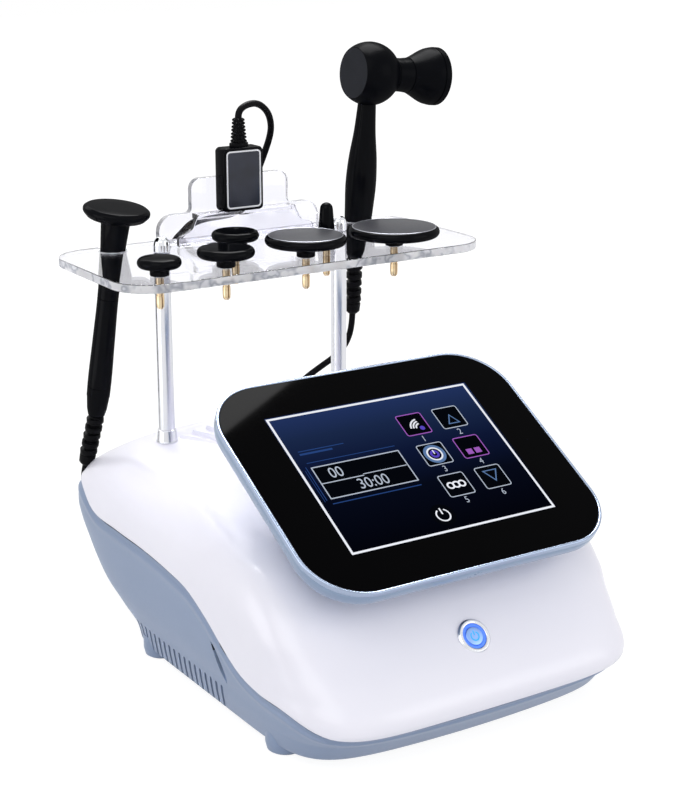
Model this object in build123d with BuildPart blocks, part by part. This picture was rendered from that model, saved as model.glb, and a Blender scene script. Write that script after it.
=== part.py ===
from build123d import *
import os
from math import cos, pi, radians, sin, tan

os.makedirs("parts", exist_ok=True)

# Radio frequency skin-care machine, in millimetres. The origin is the middle of the four foot
# holes, on the table. The front with the power button faces -Y.

# Fits
touch = 0.1  # between a piece that lifts off and its seat
slip = 0.3  # around a piece that slides through another
close_fit = 0.1  # around a fixed piece in its hole

# Body outline, level by level: height, front edge, rear edge, half width, corner radius
body_levels = (
    (6, -133, 127, 121, 40),
    (20, -149, 134, 130, 48),
    (30, -160, 157, 132, 50),
    (42, -159, 177, 135, 54),
    (55, -147, 189, 136, 56),
    (67, -133, 198, 136, 57),
    (80, -120, 206, 136, 58),
    (95, -107, 210, 135, 58),
    (107, -92, 207, 131, 57),
    (114, -79, 203, 127, 56),
    (120, -62, 199, 122, 54),
    (126, -36, 193, 115, 52),
    (131, 3, 186, 108, 48),
    (137, 93, 174, 86, 38),
)
# Seam between the two shells, as depth and height
seam_points = (
    (-159, 29), (-112, 42), (-87, 44), (-65, 49), (-44, 60), (-21, 73),
    (0, 82), (31, 87), (70, 90), (109, 91), (150, 94), (170, 102),
)
seam_front, seam_rear = (-210, 29), (260, 108)
seam_gap = 0.3
lip_band = 5  # height of the lower shell's raised band under the seam
lip_inset, base_inset = 0.8, 1.5
upper_wall, lower_wall = 3.0, 2.5
shell_reach = 300  # half size of the blocks that cut the shells

# Feet and the screw holes in them
foot_spacing_x, foot_spacing_y = 226, 172
foot_r, pad_r = 13, 11.5
pad_height = 3
foot_top = 16
foot_hole_r, foot_hole_depth = 2.1, 10
pad_chamfer = 0.6
base_floor = body_levels[0][0] + base_inset

# Screws that hold the two shells together
case_screw_places = ((-112, -60), (112, -60), (-100, 120), (100, 120))
case_boss_r, case_screw_r, case_pilot_r = 4.5, 1.5, 1.4
case_head_r, case_head_height = 2.9, 3
case_join_z, case_seat_z = 60, 54
case_screw_bite, case_pilot_spare = 10, 1

# Vent slots low in both sides
vent_count, vent_pitch = 18, 7.45
vent_middle_y, vent_middle_z = 33, 18.2
vent_length, vent_width, vent_lean = 16, 2.6, 14

# Niche in the stern for the sockets
niche_half_width, niche_low, niche_high, niche_y = 60, 38, 80, 165
niche_wall, niche_reach = 2.5, 100
window_margin = 6
panel_thickness = 2

# Fan-shaped hollow between the posts
scoop_half_width, scoop_front, scoop_rear = 62, 118, 166
scoop_depth, scoop_corner, scoop_fillet, scoop_wall = 4, 14, 3, 4
scoop_rib_root = 1
scoop_ribs, scoop_rib_width, scoop_rib_focus, scoop_rib_reach = 9, 3.2, 60, 140
scoop_rib_spread = 9.5  # degrees between ribs
scoop_rib_drop = 1.4  # rib tops lie this far under the shell's top

# Posts and tray
post_x, post_y = 75, 144
post_d, post_foot, tray_bottom = 12, 137, 273
spigot_r, spigot_length = 4, 12
collar_d, collar_top_d, collar_height = 16, 13.6, 10
nut_r, nut_height = 6.5, 5
cap_d, cap_height, cap_nub = 12.5, 11, 0.4
stud_r, stud_length = 2.5, 16
tray_width, tray_front, tray_rear = 294, 47.5, 183.5
tray_thickness, tray_corner = 6, 29
tray_top = tray_bottom + tray_thickness
slot_width = 9

# Rest on the tray
plate_y, plate_thickness = 161, 5.5
plate_half_low, plate_low_top, plate_low_corner = 68, 301, 12
plate_half_high, plate_high_top, plate_high_corner = 41, 325.7, 8
step_y, step_wall = 151, 4
step_half_foot, step_half_top, step_top = 57, 41, 301
step_straight, step_corner = 7, 6

# Heads: name, place, radius of the disc, height of its top, kind
pin_r, pin_tip_z, pin_chamfer = 2.8, 256, 0.8
disc_bottom, disc_top = tray_top + touch, 291
heads = (
    ("small", -112.4, 74, 15, "disc"),
    ("medium", -61.5, 74, 20, "disc"),
    ("large", 2.7, 74, 29, "disc"),
    ("wide", 78, 74, 33, "disc"),
    ("dish", -31.5, 114, 17, "dish"),
    ("bullet", 37.6, 102, 7, "bullet"),
)
disc_neck_r, disc_neck_height = 6.6, 4.5
disc_lip, disc_bulge, disc_undercut = 2, 3.5, 3.5
dish_top, dish_depth, dish_waist = 293, 4.5, 0.55
bullet_tip_r, bullet_top, bullet_chamfer = 4.7, 310, 1

# Left handle: where its axis meets the tray's top, and its lean
left_hole = (-101.6, 168.5)
left_lean = (0.082, -0.1364, 1)
left_hole_r = 9.9
handle_disc_r, handle_disc_low, handle_disc_high = 24, 22, 32
handle_disc_under, handle_disc_edge = 4, 2
left_relief_end = (-117.8, 195, 112.9)
# Grip radius at each distance along the axis from the tray's top
left_grip = (
    (22, 10.6), (10, 9.7), (0, 8.95), (-36, 7.7), (-70, 8.2), (-104, 8.7),
)
grip_joint_depth, grip_joint_width = 0.5, 0.9
left_grip_low = ((-112, 8.3), (-122, 7.4), (-128, 6.2))

# Hammer-shaped handle
hammer_hole = (110.3, 171)
hammer_lean = (0.034, -0.082, 1)
hammer_hole_r = 11.4
ball_height, ball_r, facet_distance = 114, 24, 15.9
neck_r, neck_end, bell_start, bell_end, bell_r = 12.7, 34, 56.3, 62.5, 22.1
neck_groove_depth, neck_groove_width = 0.8, 1.2
bell_swell, bell_swell_shift = 2.6, 2
bell_droop = 0.09
hammer_relief_end = (109.3, 177.2, 203.3)
hammer_grip_profile = (
    (94, 6.8), (70, 8.4), (48, 11.0), (28, 11.9), (10, 11.1), (0, 10.5), (-18, 8.5),
)
hammer_grip_low = ((-20, 8.2), (-30, 7.4), (-34, 6.4))

# Ribbed reliefs
relief_rib_r, relief_core_r, relief_collar_r = 6.5, 3.9, 6.0
relief_ribs, relief_rib_width, relief_rib_tilt = 5, 3.2, 12
relief_collar_length, relief_collar_draw = 9, 1
relief_rib_start, relief_rib_draw = 0.6, 0.12
relief_root, relief_root_height, relief_root_inset = 1, 2.2, 0.8

# Flat plug that stands on the rest
plug_x, plug_width, plug_height, plug_thickness = -5, 33, 46.5, 14
plug_corner, plug_edge = 3, 1
label_margin, label_depth = 3, 0.6
plug_flange_r, plug_flange_half, plug_flange_height = 7.5, 4.75, 3
plug_relief_r, plug_relief_height, plug_relief_ribs = 5.5, 15.5, 6
plug_core_r, plug_rib_start, plug_rib_share, plug_rib_draw = 3.5, 0.4, 0.55, 0.17

# Screen, on a plane that leans back
screen_centre, screen_tilt = (0, -62, 164), 30
glass_width, glass_height, glass_corner = 230, 180, 38
glass_thickness, glass_chamfer = 3, 0.4
rim_width, rim_proud = 2, 0.3
housing_straight, housing_taper, housing_draw_in = 9, 12, 20
housing_wall = 8
housing_floor = 2.5
lcd_width, lcd_height, lcd_thickness, lcd_corner = 172, 131, 5, 2
board_width, board_height, board_thickness = 150, 100, 1.6
board_drop = 6  # below the display
board_chip, board_chip_pitch = (18, 16, 2.5), (36, 30)
board_screw_margin, board_hole_r, board_screw_r, board_pilot_r = 6, 1.6, 1.3, 1.4
board_post_r, board_pilot_depth, board_screw_bite = 4, 5, 4
board_head_r, board_head_height = 2.6, 1.8
neck_half_width, neck_front, neck_rear = 45, -88, 0
neck_corner, neck_reach = 14, 60

# Power button, on a plane square to the nose
button_centre, button_rise = (0, -133, 67), 42
seat_r, seat_depth = 14, 10
bezel_r, bezel_height, bezel_tube_r, bezel_chamfer = 11.9, 1.8, 9.6, 0.7
bezel_bore_r, bezel_tube_length = 8.5, 14
ring_r, ring_bore_r, ring_height, ring_drop = 8.4, 6.5, 4, 0.8
button_travel, button_height = 1.6, 3.4
cap_drop, cap_gap, cap_fillet = 0.3, 0.15, 0.6
plunger_r, plunger_length, barrel_length = 5.5, 2, 20
barrel_pin, barrel_pin_pitch = (2, 0.6, 6), 6

# Chassis and what it carries
chassis_x, chassis_y, chassis_z, chassis_thickness = 105, 98, 22, 2
chassis_corner = 10
chassis_boss_x, chassis_boss_y, chassis_boss_r, chassis_hole_r = 94, 86, 5, 1.7
supply_size, supply_place, supply_chamfer = (80, 110, 38), (-55, 35), 1.5
terminal_size, terminal_rise = (60, 10, 12), 4
supply_slot, supply_slot_depth, supply_slot_pitch, supply_slots = (22, 3), 2, (9, 30), (7, 3)
sink_size, sink_place = (66, 58, 30), (-62, -66)
sink_fins, sink_base, fin_width = 9, 5, 2
rf_size, rf_place = (92, 120, 1.6), (47, 0)
standoff_r, standoff_height, standoff_margin = 3, 8, 6
# Parts on the board, each place measured from its middle
choke_place, choke_r, choke_bore_r, choke_height = (-20, 25), 17, 8, 14
can_place, can_pitch, can_r, can_height = (18, 30), 16, 6, 20
chip_place, chip_pitch, chip_size = (0, -30), (26, 22), (14, 12, 4)
fan_size, fan_depth, fan_place, fan_corner = 50, 12, (103, 15), 4
fan_bore_r, fan_hub_r, fan_blades, fan_blade_width = 23, 9, 7, 1.6
fan_tip_gap = 1.0
fan_spokes, fan_spoke_width, fan_spoke_depth = 3, 3, 1.5
fan_overlap, fan_blade_inset = 1, 0.7
fan_hole_r, fan_hole_margin = 1.7, 4
fan_axle_r, fan_axle_length, fan_running_gap = 2, 6, 0.05

# Sockets in the rear panel
socket_x, socket_z, socket_r, socket_bore_r = (-38, -10), 59, 11, 5.5
socket_flange, socket_body, socket_wall, socket_floor = 3, 18, 2, 6
inlet_x, inlet_z, inlet_width, inlet_height = 32, 59, 28, 22
inlet_lip, inlet_body, inlet_flange, inlet_corner = 4, 20, 2, 3
inlet_well = (22, 15, 14)

# Cords
cord_d = 5
floor_gap = 0.05
coil_turns, coil_pitch, coil_radius = 3, 5.5, 27.5
coil_y = 232
left_coil_x, hammer_coil_x = -40, 48
lead = 6  # straight end of each coil
run_end, loop_end = 12, 5.1  # first straight of each free run, and of the loop over the plug
corner_share, end_share = 0.45, 0.9  # of a run that one corner's arc may take
left_route = ((-112, 207, 88), (-101, 213, 68), (-89, 212, 48), (-79, 206, 27), (-72, 200, 9))
rise_route = (
    (-74, 263, 12), (-87, 252, 23), (-90, 238, 40), (-80, 227, 60),
    (-61, 221, 79), (-44, 219, 99), (-37.8, 217, 121), (-39.3, 214.2, 147),
    (-41.2, 210.2, 173), (-44, 205, 202), (-46.5, 200.5, 229), (-49.5, 196.5, 250),
    (-41.8, 192, 275.2), (-36.7, 187, 282.3), (-33, 181, 289.6), (-25.2, 176.5, 293.1),
    (-14.5, 174.5, 294), (-3.1, 173.5, 294.9), (6.4, 173.5, 298.9), (13.3, 173.3, 307.3),
    (18.5, 173, 318.2), (23.3, 172, 329.2), (26.3, 169.5, 339.4), (29, 166.5, 351),
    (28.2, 163, 360.6), (23.5, 160.3, 371), (13.2, 157.3, 378.3), (2.15, 154.8, 378.3),
)
hammer_route = (
    (107, 182, 178), (100.5, 186, 168), (90, 191, 160), (78, 199, 149),
    (69, 209, 134), (64, 217, 114), (65, 220.5, 92), (72, 219, 68), (81, 212, 46),
    (87, 204, 27), (82, 198.5, 10),
)
cord_plug_r, cord_plug_length, cord_plug_relief, cord_plug_relief_r = 7.9, 30, 24, 3.8
cord_plug_tip = 11

left_plane = Plane(origin=(*left_hole, tray_top), x_dir=(1, 0, -left_lean[0]), z_dir=left_lean)
hammer_plane = Plane(origin=(*hammer_hole, tray_top), x_dir=(1, 0, -hammer_lean[0]), z_dir=hammer_lean)
screen_normal = (0, -sin(radians(screen_tilt)), cos(radians(screen_tilt)))
screen = Plane(origin=screen_centre, x_dir=(1, 0, 0), z_dir=screen_normal)
screen_axis = Axis(screen_centre, screen_normal)
button_normal = (0, -cos(radians(button_rise)), sin(radians(button_rise)))
button = Plane(origin=button_centre, x_dir=(1, 0, 0), z_dir=button_normal)


def save(piece, name):
    piece.part.label = name
    export_step(piece.part, f"parts/{name}.step")


# Body shells


def body_form(inset):
    """The body's whole shape, drawn in by inset all round."""
    low, high = body_levels[0][0], body_levels[-1][0]
    shrink = (high - low - 2 * inset) / (high - low)
    with BuildPart() as form:
        for height, front, rear, half_width, corner in body_levels:
            level = low + inset + (height - low) * shrink
            with BuildSketch(Plane.XY.offset(level)):
                with Locations((0, (front + rear) / 2)):
                    RectangleRounded(2 * (half_width - inset), rear - front - 2 * inset, corner - inset)
        loft(ruled=True)
    return form.part


def seam_block(drop_top, height):
    """Everything between the seam, lowered by drop_top, and height above (or below) it."""
    side = [(y, z - drop_top) for y, z in (seam_front, *seam_points, seam_rear)]
    with BuildPart() as block:
        with BuildSketch(Plane.YZ):
            with BuildLine():
                Spline(*side)
                Polyline(side[-1], (side[-1][0], height), (side[0][0], height), side[0])
            make_face()
        extrude(amount=shell_reach, both=True)
    return block.part


body_outer = body_form(0)
upper_inner = body_form(upper_wall)
lip_form = body_form(lip_inset)
base_form = body_form(base_inset)
base_inner = body_form(base_inset + lower_wall)
above_seam = seam_block(0, shell_reach)
below_seam = seam_block(seam_gap, -shell_reach)
below_band = seam_block(lip_band, -shell_reach)

with BuildPart() as scoop:
    with BuildSketch(Plane.XY.offset(post_foot - scoop_depth)):
        with Locations((0, (scoop_front + scoop_rear) / 2)):
            RectangleRounded(2 * scoop_half_width, scoop_rear - scoop_front, scoop_corner)
    extrude(amount=2 * scoop_depth)
    fillet(scoop.faces().sort_by(Axis.Z)[0].edges(), radius=scoop_fillet)

with BuildPart() as scoop_rib_set:
    with BuildSketch(Plane.XY.offset(post_foot - scoop_depth - scoop_rib_root)):
        for i in range(scoop_ribs):
            angle = 90 + (i - (scoop_ribs - 1) / 2) * scoop_rib_spread
            with Locations(Location((0, scoop_rib_focus, 0), (0, 0, angle))):
                Rectangle(scoop_rib_reach, scoop_rib_width, align=(Align.MIN, Align.CENTER))
    extrude(amount=scoop_depth + scoop_rib_root - scoop_rib_drop)
    add(scoop.part, mode=Mode.INTERSECT)

with BuildPart() as upper_shell:
    add(body_outer)
    add(upper_inner, mode=Mode.SUBTRACT)
    with BuildSketch(Plane.XY.offset(post_foot - scoop_depth - upper_wall)):
        with Locations((0, (scoop_front + scoop_rear) / 2)):
            RectangleRounded(2 * (scoop_half_width + scoop_wall), scoop_rear - scoop_front + 2 * scoop_wall,
                             scoop_corner + scoop_wall)
    extrude(amount=scoop_depth)
    add(body_outer, mode=Mode.INTERSECT)
    add(scoop.part, mode=Mode.SUBTRACT)
    add(scoop_rib_set.part)
    with BuildSketch(button.offset(-seat_depth)):
        Circle(seat_r)
    extrude(amount=seat_depth)
    with BuildSketch(button):
        Circle(bezel_r + slip)
    extrude(amount=seat_depth, mode=Mode.SUBTRACT)
    with BuildSketch(button.offset(-2 * seat_depth)):
        Circle(bezel_tube_r + close_fit)
    extrude(amount=4 * seat_depth, mode=Mode.SUBTRACT)
    with Locations((-post_x, post_y, post_foot), (post_x, post_y, post_foot)):
        Cylinder(spigot_r + close_fit, 4 * upper_wall, mode=Mode.SUBTRACT)

# The walls stop at the seam, and the screw bosses hang lower
with BuildPart() as upper_bosses:
    with Locations(*[Location((x, y, case_join_z + touch)) for x, y in case_screw_places]):
        Cylinder(case_boss_r, post_foot, align=(Align.CENTER, Align.CENTER, Align.MIN))
    add(upper_inner, mode=Mode.INTERSECT)
    with Locations(*[Location((x, y, case_join_z)) for x, y in case_screw_places]):
        Cylinder(case_pilot_r + close_fit, 2 * (case_screw_bite + case_pilot_spare), mode=Mode.SUBTRACT)
with BuildPart() as upper_trimmed:
    add(upper_shell.part)
    add(above_seam, mode=Mode.INTERSECT)
    add(upper_bosses.part)
save(upper_trimmed, "upper_shell")

with BuildPart() as niche:
    with Locations((0, niche_y, (niche_low + niche_high) / 2)):
        Box(2 * niche_half_width, niche_reach, niche_high - niche_low, align=(Align.CENTER, Align.MIN, Align.CENTER))
with BuildPart() as niche_liner:
    with Locations((0, niche_y - niche_wall, (niche_low + niche_high) / 2)):
        Box(2 * (niche_half_width + niche_wall), niche_reach, niche_high - niche_low + 2 * niche_wall,
            align=(Align.CENTER, Align.MIN, Align.CENTER))
    add(base_form, mode=Mode.INTERSECT)
    add(niche.part, mode=Mode.SUBTRACT)
    with Locations((0, niche_y, (niche_low + niche_high) / 2)):
        Box(2 * (niche_half_width - window_margin), 3 * niche_wall,
            niche_high - niche_low - 2 * window_margin, mode=Mode.SUBTRACT)

with BuildPart() as vents:
    with BuildSketch(Plane.YZ):
        with Locations((vent_middle_y, vent_middle_z)):
            with GridLocations(vent_pitch, 1, vent_count, 1):
                SlotOverall(vent_length, vent_width, rotation=90 + vent_lean)
    extrude(amount=shell_reach, both=True)

with BuildPart() as lower_shell:
    add(lip_form)
    add(below_band, mode=Mode.SUBTRACT)
    add(base_form)
    add(base_inner, mode=Mode.SUBTRACT)
    add(below_seam, mode=Mode.INTERSECT)
    add(niche_liner.part)
    add(niche.part, mode=Mode.SUBTRACT)
    add(vents.part, mode=Mode.SUBTRACT)
    with Locations((0, 0, pad_height)):
        with GridLocations(foot_spacing_x, foot_spacing_y, 2, 2):
            Cylinder(foot_r, foot_top - pad_height, align=(Align.CENTER, Align.CENTER, Align.MIN))
    with Locations((0, 0, base_floor + lower_wall / 2)):
        with GridLocations(2 * chassis_boss_x, 2 * chassis_boss_y, 2, 2):
            Cylinder(chassis_boss_r, chassis_z - base_floor - lower_wall / 2,
                     align=(Align.CENTER, Align.CENTER, Align.MIN))
    with Locations(*[Location((x, y, base_floor + lower_wall / 2)) for x, y in case_screw_places]):
        Cylinder(case_boss_r, case_join_z - base_floor - lower_wall / 2,
                 align=(Align.CENTER, Align.CENTER, Align.MIN))
    with Locations(*[Location((x, y, 0)) for x, y in case_screw_places]):
        Cylinder(case_screw_r + close_fit, 2 * post_foot, mode=Mode.SUBTRACT)
        Cylinder(case_head_r + slip, case_seat_z, align=(Align.CENTER, Align.CENTER, Align.MIN),
                 mode=Mode.SUBTRACT)
    with GridLocations(foot_spacing_x, foot_spacing_y, 2, 2):
        Cylinder(foot_hole_r, pad_height + foot_hole_depth,
                 align=(Align.CENTER, Align.CENTER, Align.MIN), mode=Mode.SUBTRACT)
save(lower_shell, "lower_shell")

with BuildPart() as foot_pads:
    with BuildSketch():
        with GridLocations(foot_spacing_x, foot_spacing_y, 2, 2):
            Circle(pad_r)
            Circle(foot_hole_r, mode=Mode.SUBTRACT)
    extrude(amount=pad_height)
    chamfer(foot_pads.faces().sort_by(Axis.Z)[:4].edges().sort_by(SortBy.RADIUS)[-4:],
            length=pad_chamfer)
save(foot_pads, "foot_pads")

with BuildPart() as case_screws:
    with Locations(*[Location((x, y, case_seat_z)) for x, y in case_screw_places]):
        Cylinder(case_head_r, case_head_height, align=(Align.CENTER, Align.CENTER, Align.MAX))
        Cylinder(case_pilot_r, case_join_z - case_seat_z + case_screw_bite,
                 align=(Align.CENTER, Align.CENTER, Align.MIN))
save(case_screws, "case_screws")

with BuildPart() as rear_panel:
    with BuildSketch(Plane.XZ.offset(-niche_y - close_fit)):
        with Locations((0, (niche_low + niche_high) / 2)):
            Rectangle(2 * (niche_half_width - slip), niche_high - niche_low - 2 * slip)
        with Locations((0, socket_z)):
            with Locations(*[(x, 0) for x in socket_x]):
                Circle(socket_bore_r + socket_wall + close_fit, mode=Mode.SUBTRACT)
        with Locations((inlet_x, inlet_z)):
            Rectangle(inlet_width + 2 * close_fit, inlet_height + 2 * close_fit, mode=Mode.SUBTRACT)
    extrude(amount=-panel_thickness)
save(rear_panel, "rear_panel")
panel_face = niche_y + close_fit + panel_thickness

with BuildPart() as handle_sockets:
    with BuildSketch(Plane.XZ.offset(-panel_face - close_fit)):
        with Locations(*[(x, socket_z) for x in socket_x]):
            Circle(socket_r)
    extrude(amount=-socket_flange)
    with BuildSketch(Plane.XZ.offset(-panel_face - close_fit)):
        with Locations(*[(x, socket_z) for x in socket_x]):
            Circle(socket_bore_r + socket_wall)
    extrude(amount=socket_body)
    with BuildSketch(Plane.XZ.offset(-panel_face - close_fit - socket_flange)):
        with Locations(*[(x, socket_z) for x in socket_x]):
            Circle(socket_bore_r)
    extrude(amount=socket_flange + socket_body - socket_floor, mode=Mode.SUBTRACT)
save(handle_sockets, "handle_sockets")

with BuildPart() as mains_inlet:
    with BuildSketch(Plane.XZ.offset(-panel_face - close_fit)):
        with Locations((inlet_x, inlet_z)):
            RectangleRounded(inlet_width + 2 * inlet_lip, inlet_height + 2 * inlet_lip, inlet_corner)
    extrude(amount=-inlet_flange)
    with BuildSketch(Plane.XZ.offset(-panel_face - close_fit)):
        with Locations((inlet_x, inlet_z)):
            Rectangle(inlet_width, inlet_height)
    extrude(amount=inlet_body)
    with BuildSketch(Plane.XZ.offset(-panel_face - close_fit - inlet_flange)):
        with Locations((inlet_x, inlet_z)):
            Rectangle(inlet_well[0], inlet_well[1])
    extrude(amount=inlet_well[2] + inlet_flange, mode=Mode.SUBTRACT)
save(mains_inlet, "mains_inlet")

# Chassis

with BuildPart() as chassis_plate:
    with BuildSketch(Plane.XY.offset(chassis_z)):
        RectangleRounded(2 * chassis_x, 2 * chassis_y, chassis_corner)
        with GridLocations(2 * chassis_boss_x, 2 * chassis_boss_y, 2, 2):
            Circle(chassis_hole_r, mode=Mode.SUBTRACT)
    extrude(amount=chassis_thickness)
save(chassis_plate, "chassis_plate")
deck = chassis_z + chassis_thickness

with BuildPart() as power_supply:
    with Locations((*supply_place, deck)):
        Box(*supply_size, align=(Align.CENTER, Align.CENTER, Align.MIN))
    chamfer(power_supply.edges().filter_by(Axis.Z), length=supply_chamfer)
    with Locations((supply_place[0], supply_place[1] - supply_size[1] / 2, deck + terminal_rise)):
        Box(*terminal_size, align=(Align.CENTER, Align.MAX, Align.MIN))
    with BuildSketch(Plane.XY.offset(deck + supply_size[2])):
        with Locations(supply_place):
            with GridLocations(*supply_slot_pitch, *supply_slots):
                SlotOverall(*supply_slot, rotation=90)
    extrude(amount=-supply_slot_depth, mode=Mode.SUBTRACT)
save(power_supply, "power_supply")

with BuildPart() as heat_sink:
    with Locations((*sink_place, deck)):
        Box(sink_size[0], sink_size[1], sink_base, align=(Align.CENTER, Align.CENTER, Align.MIN))
    fin_pitch = (sink_size[0] - fin_width) / (sink_fins - 1)
    with BuildSketch(Plane.XY.offset(deck + sink_base)):
        with Locations(sink_place):
            with GridLocations(fin_pitch, 1, sink_fins, 1):
                Rectangle(fin_width, sink_size[1])
    extrude(amount=sink_size[2] - sink_base)
save(heat_sink, "heat_sink")

with BuildPart() as board_standoffs:
    with BuildSketch(Plane.XY.offset(deck)):
        with Locations(rf_place):
            with GridLocations(rf_size[0] - 2 * standoff_margin, rf_size[1] - 2 * standoff_margin, 2, 2):
                RegularPolygon(standoff_r, 6)
    extrude(amount=standoff_height)
save(board_standoffs, "board_standoffs")

with BuildPart() as rf_board:
    board_top = deck + standoff_height + rf_size[2]
    with Locations((*rf_place, board_top)):
        Box(*rf_size, align=(Align.CENTER, Align.CENTER, Align.MAX))
    with Locations((rf_place[0] + choke_place[0], rf_place[1] + choke_place[1], board_top)):
        Cylinder(choke_r, choke_height, align=(Align.CENTER, Align.CENTER, Align.MIN))
        Cylinder(choke_bore_r, choke_height, align=(Align.CENTER, Align.CENTER, Align.MIN), mode=Mode.SUBTRACT)
    with Locations((rf_place[0] + can_place[0], rf_place[1] + can_place[1], board_top)):
        with GridLocations(can_pitch, can_pitch, 2, 2):
            Cylinder(can_r, can_height, align=(Align.CENTER, Align.CENTER, Align.MIN))
    with Locations((rf_place[0] + chip_place[0], rf_place[1] + chip_place[1], board_top)):
        with GridLocations(*chip_pitch, 3, 2):
            Box(*chip_size, align=(Align.CENTER, Align.CENTER, Align.MIN))
save(rf_board, "rf_board")

fan_centre = (fan_place[0], fan_place[1], deck + fan_size / 2)
fan_plane = Plane(origin=fan_centre, x_dir=(0, 1, 0), z_dir=(1, 0, 0))
with BuildPart() as fan_frame:
    with BuildSketch(fan_plane.offset(-fan_depth / 2)):
        RectangleRounded(fan_size, fan_size, fan_corner)
        Circle(fan_bore_r, mode=Mode.SUBTRACT)
        with GridLocations(fan_size - 2 * fan_hole_margin, fan_size - 2 * fan_hole_margin, 2, 2):
            Circle(fan_hole_r, mode=Mode.SUBTRACT)
    extrude(amount=fan_depth)
    with BuildSketch(fan_plane.offset(-fan_depth / 2)):
        Circle(fan_hub_r)
        with PolarLocations(0, fan_spokes):
            Rectangle(fan_bore_r + fan_overlap, fan_spoke_width, align=(Align.MIN, Align.CENTER))
    extrude(amount=fan_spoke_depth)
    with BuildSketch(fan_plane.offset(-fan_depth / 2)):
        Circle(fan_axle_r)
    extrude(amount=fan_axle_length)
save(fan_frame, "fan_frame")

rotor_low = -fan_depth / 2 + fan_spoke_depth + slip
rotor_length = fan_depth / 2 - fan_blade_inset - rotor_low
with BuildPart() as fan_rotor:
    with BuildSketch(fan_plane.offset(rotor_low)):
        Circle(fan_hub_r)
    extrude(amount=rotor_length)
    with BuildSketch(fan_plane.offset(rotor_low + fan_blade_inset)):
        with PolarLocations(0, fan_blades):
            with Locations(Location((fan_hub_r - fan_overlap, 0, 0))):
                Rectangle(fan_bore_r - fan_tip_gap - fan_hub_r + fan_overlap, fan_blade_width,
                          align=(Align.MIN, Align.CENTER))
    extrude(amount=rotor_length - 2 * fan_blade_inset)
    with BuildSketch(fan_plane.offset(-fan_depth / 2)):
        Circle(fan_axle_r + fan_running_gap)
    extrude(amount=fan_axle_length + slip, mode=Mode.SUBTRACT)
save(fan_rotor, "fan_rotor")

# Screen


def screen_outline(grow, mode=Mode.ADD):
    """Rounded outline of the glass, grown all round."""
    RectangleRounded(glass_width + 2 * grow, glass_height + 2 * grow, glass_corner + grow, mode=mode)


with BuildPart() as front_glass:
    with BuildSketch(screen.offset(-glass_thickness)):
        screen_outline(0)
    extrude(amount=glass_thickness)
    chamfer(front_glass.faces().sort_by(screen_axis)[-1].edges(), length=glass_chamfer)
save(front_glass, "front_glass")

rim_reach = close_fit + rim_width
with BuildPart() as tablet_rim:
    with BuildSketch(screen.offset(-glass_thickness)):
        screen_outline(rim_reach)
        screen_outline(close_fit, Mode.SUBTRACT)
    extrude(amount=glass_thickness + rim_proud)
save(tablet_rim, "tablet_rim")

board_face = -glass_thickness - lcd_thickness - board_drop
board_holes = (board_width - 2 * board_screw_margin, board_height - 2 * board_screw_margin)
with BuildPart() as tablet_housing:
    with BuildSketch(screen.offset(-glass_thickness)):
        screen_outline(rim_reach)
    extrude(amount=-housing_straight)
    with BuildSketch(screen.offset(-glass_thickness - housing_straight)):
        screen_outline(rim_reach)
    with BuildSketch(screen.offset(-glass_thickness - housing_straight - housing_taper)):
        screen_outline(rim_reach - housing_draw_in)
    loft(ruled=True)
    with BuildSketch(screen.offset(-glass_thickness)):
        screen_outline(-housing_wall)
    extrude(amount=-housing_straight, mode=Mode.SUBTRACT)
    with BuildSketch(screen.offset(-glass_thickness - housing_straight)):
        screen_outline(-housing_wall - housing_draw_in)
    extrude(amount=housing_floor - housing_taper, mode=Mode.SUBTRACT)
    with BuildSketch(screen.offset(board_face - board_thickness)):
        with GridLocations(*board_holes, 2, 2):
            Circle(board_post_r)
    extrude(until=Until.NEXT, dir=tuple(-v for v in screen_normal))
    with BuildSketch(screen.offset(board_face - board_thickness)):
        with GridLocations(*board_holes, 2, 2):
            Circle(board_pilot_r)
    extrude(amount=-board_pilot_depth, mode=Mode.SUBTRACT)
save(tablet_housing, "tablet_housing")

with BuildPart() as lcd_panel:
    with BuildSketch(screen.offset(-glass_thickness - touch)):
        RectangleRounded(lcd_width, lcd_height, lcd_corner)
    extrude(amount=-lcd_thickness)
save(lcd_panel, "lcd_panel")

with BuildPart() as control_board:
    with BuildSketch(screen.offset(board_face)):
        Rectangle(board_width, board_height)
        with GridLocations(*board_holes, 2, 2):
            Circle(board_hole_r, mode=Mode.SUBTRACT)
    extrude(amount=-board_thickness)
    with BuildSketch(screen.offset(board_face)):
        with GridLocations(*board_chip_pitch, 3, 2):
            Rectangle(board_chip[0], board_chip[1])
    extrude(amount=board_chip[2])
save(control_board, "control_board")

with BuildPart() as tablet_screws:
    with BuildSketch(screen.offset(board_face)):
        with GridLocations(*board_holes, 2, 2):
            Circle(board_head_r)
    extrude(amount=board_head_height)
    with BuildSketch(screen.offset(board_face)):
        with GridLocations(*board_holes, 2, 2):
            Circle(board_screw_r)
    extrude(amount=-board_thickness - board_screw_bite)
save(tablet_screws, "tablet_screws")

housing_back = glass_thickness + housing_straight + housing_taper
with BuildPart() as tablet_neck:
    with BuildSketch(screen.offset(-housing_back)):
        with Locations((0, (neck_front + neck_rear) / 2 - screen_centre[1])):
            RectangleRounded(2 * neck_half_width, neck_rear - neck_front, neck_corner)
    extrude(amount=-neck_reach, dir=(0, 0, 1))
    add(body_outer, mode=Mode.SUBTRACT)
save(tablet_neck, "tablet_neck")

# Power button


def button_ring(outer, inner, low, high):
    """A ring round the button's axis, from low to high above the shell's seat."""
    with BuildSketch(button.offset(low)) as ring:
        Circle(outer)
        Circle(inner, mode=Mode.SUBTRACT)
    extrude(ring.sketch, amount=high - low)


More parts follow.
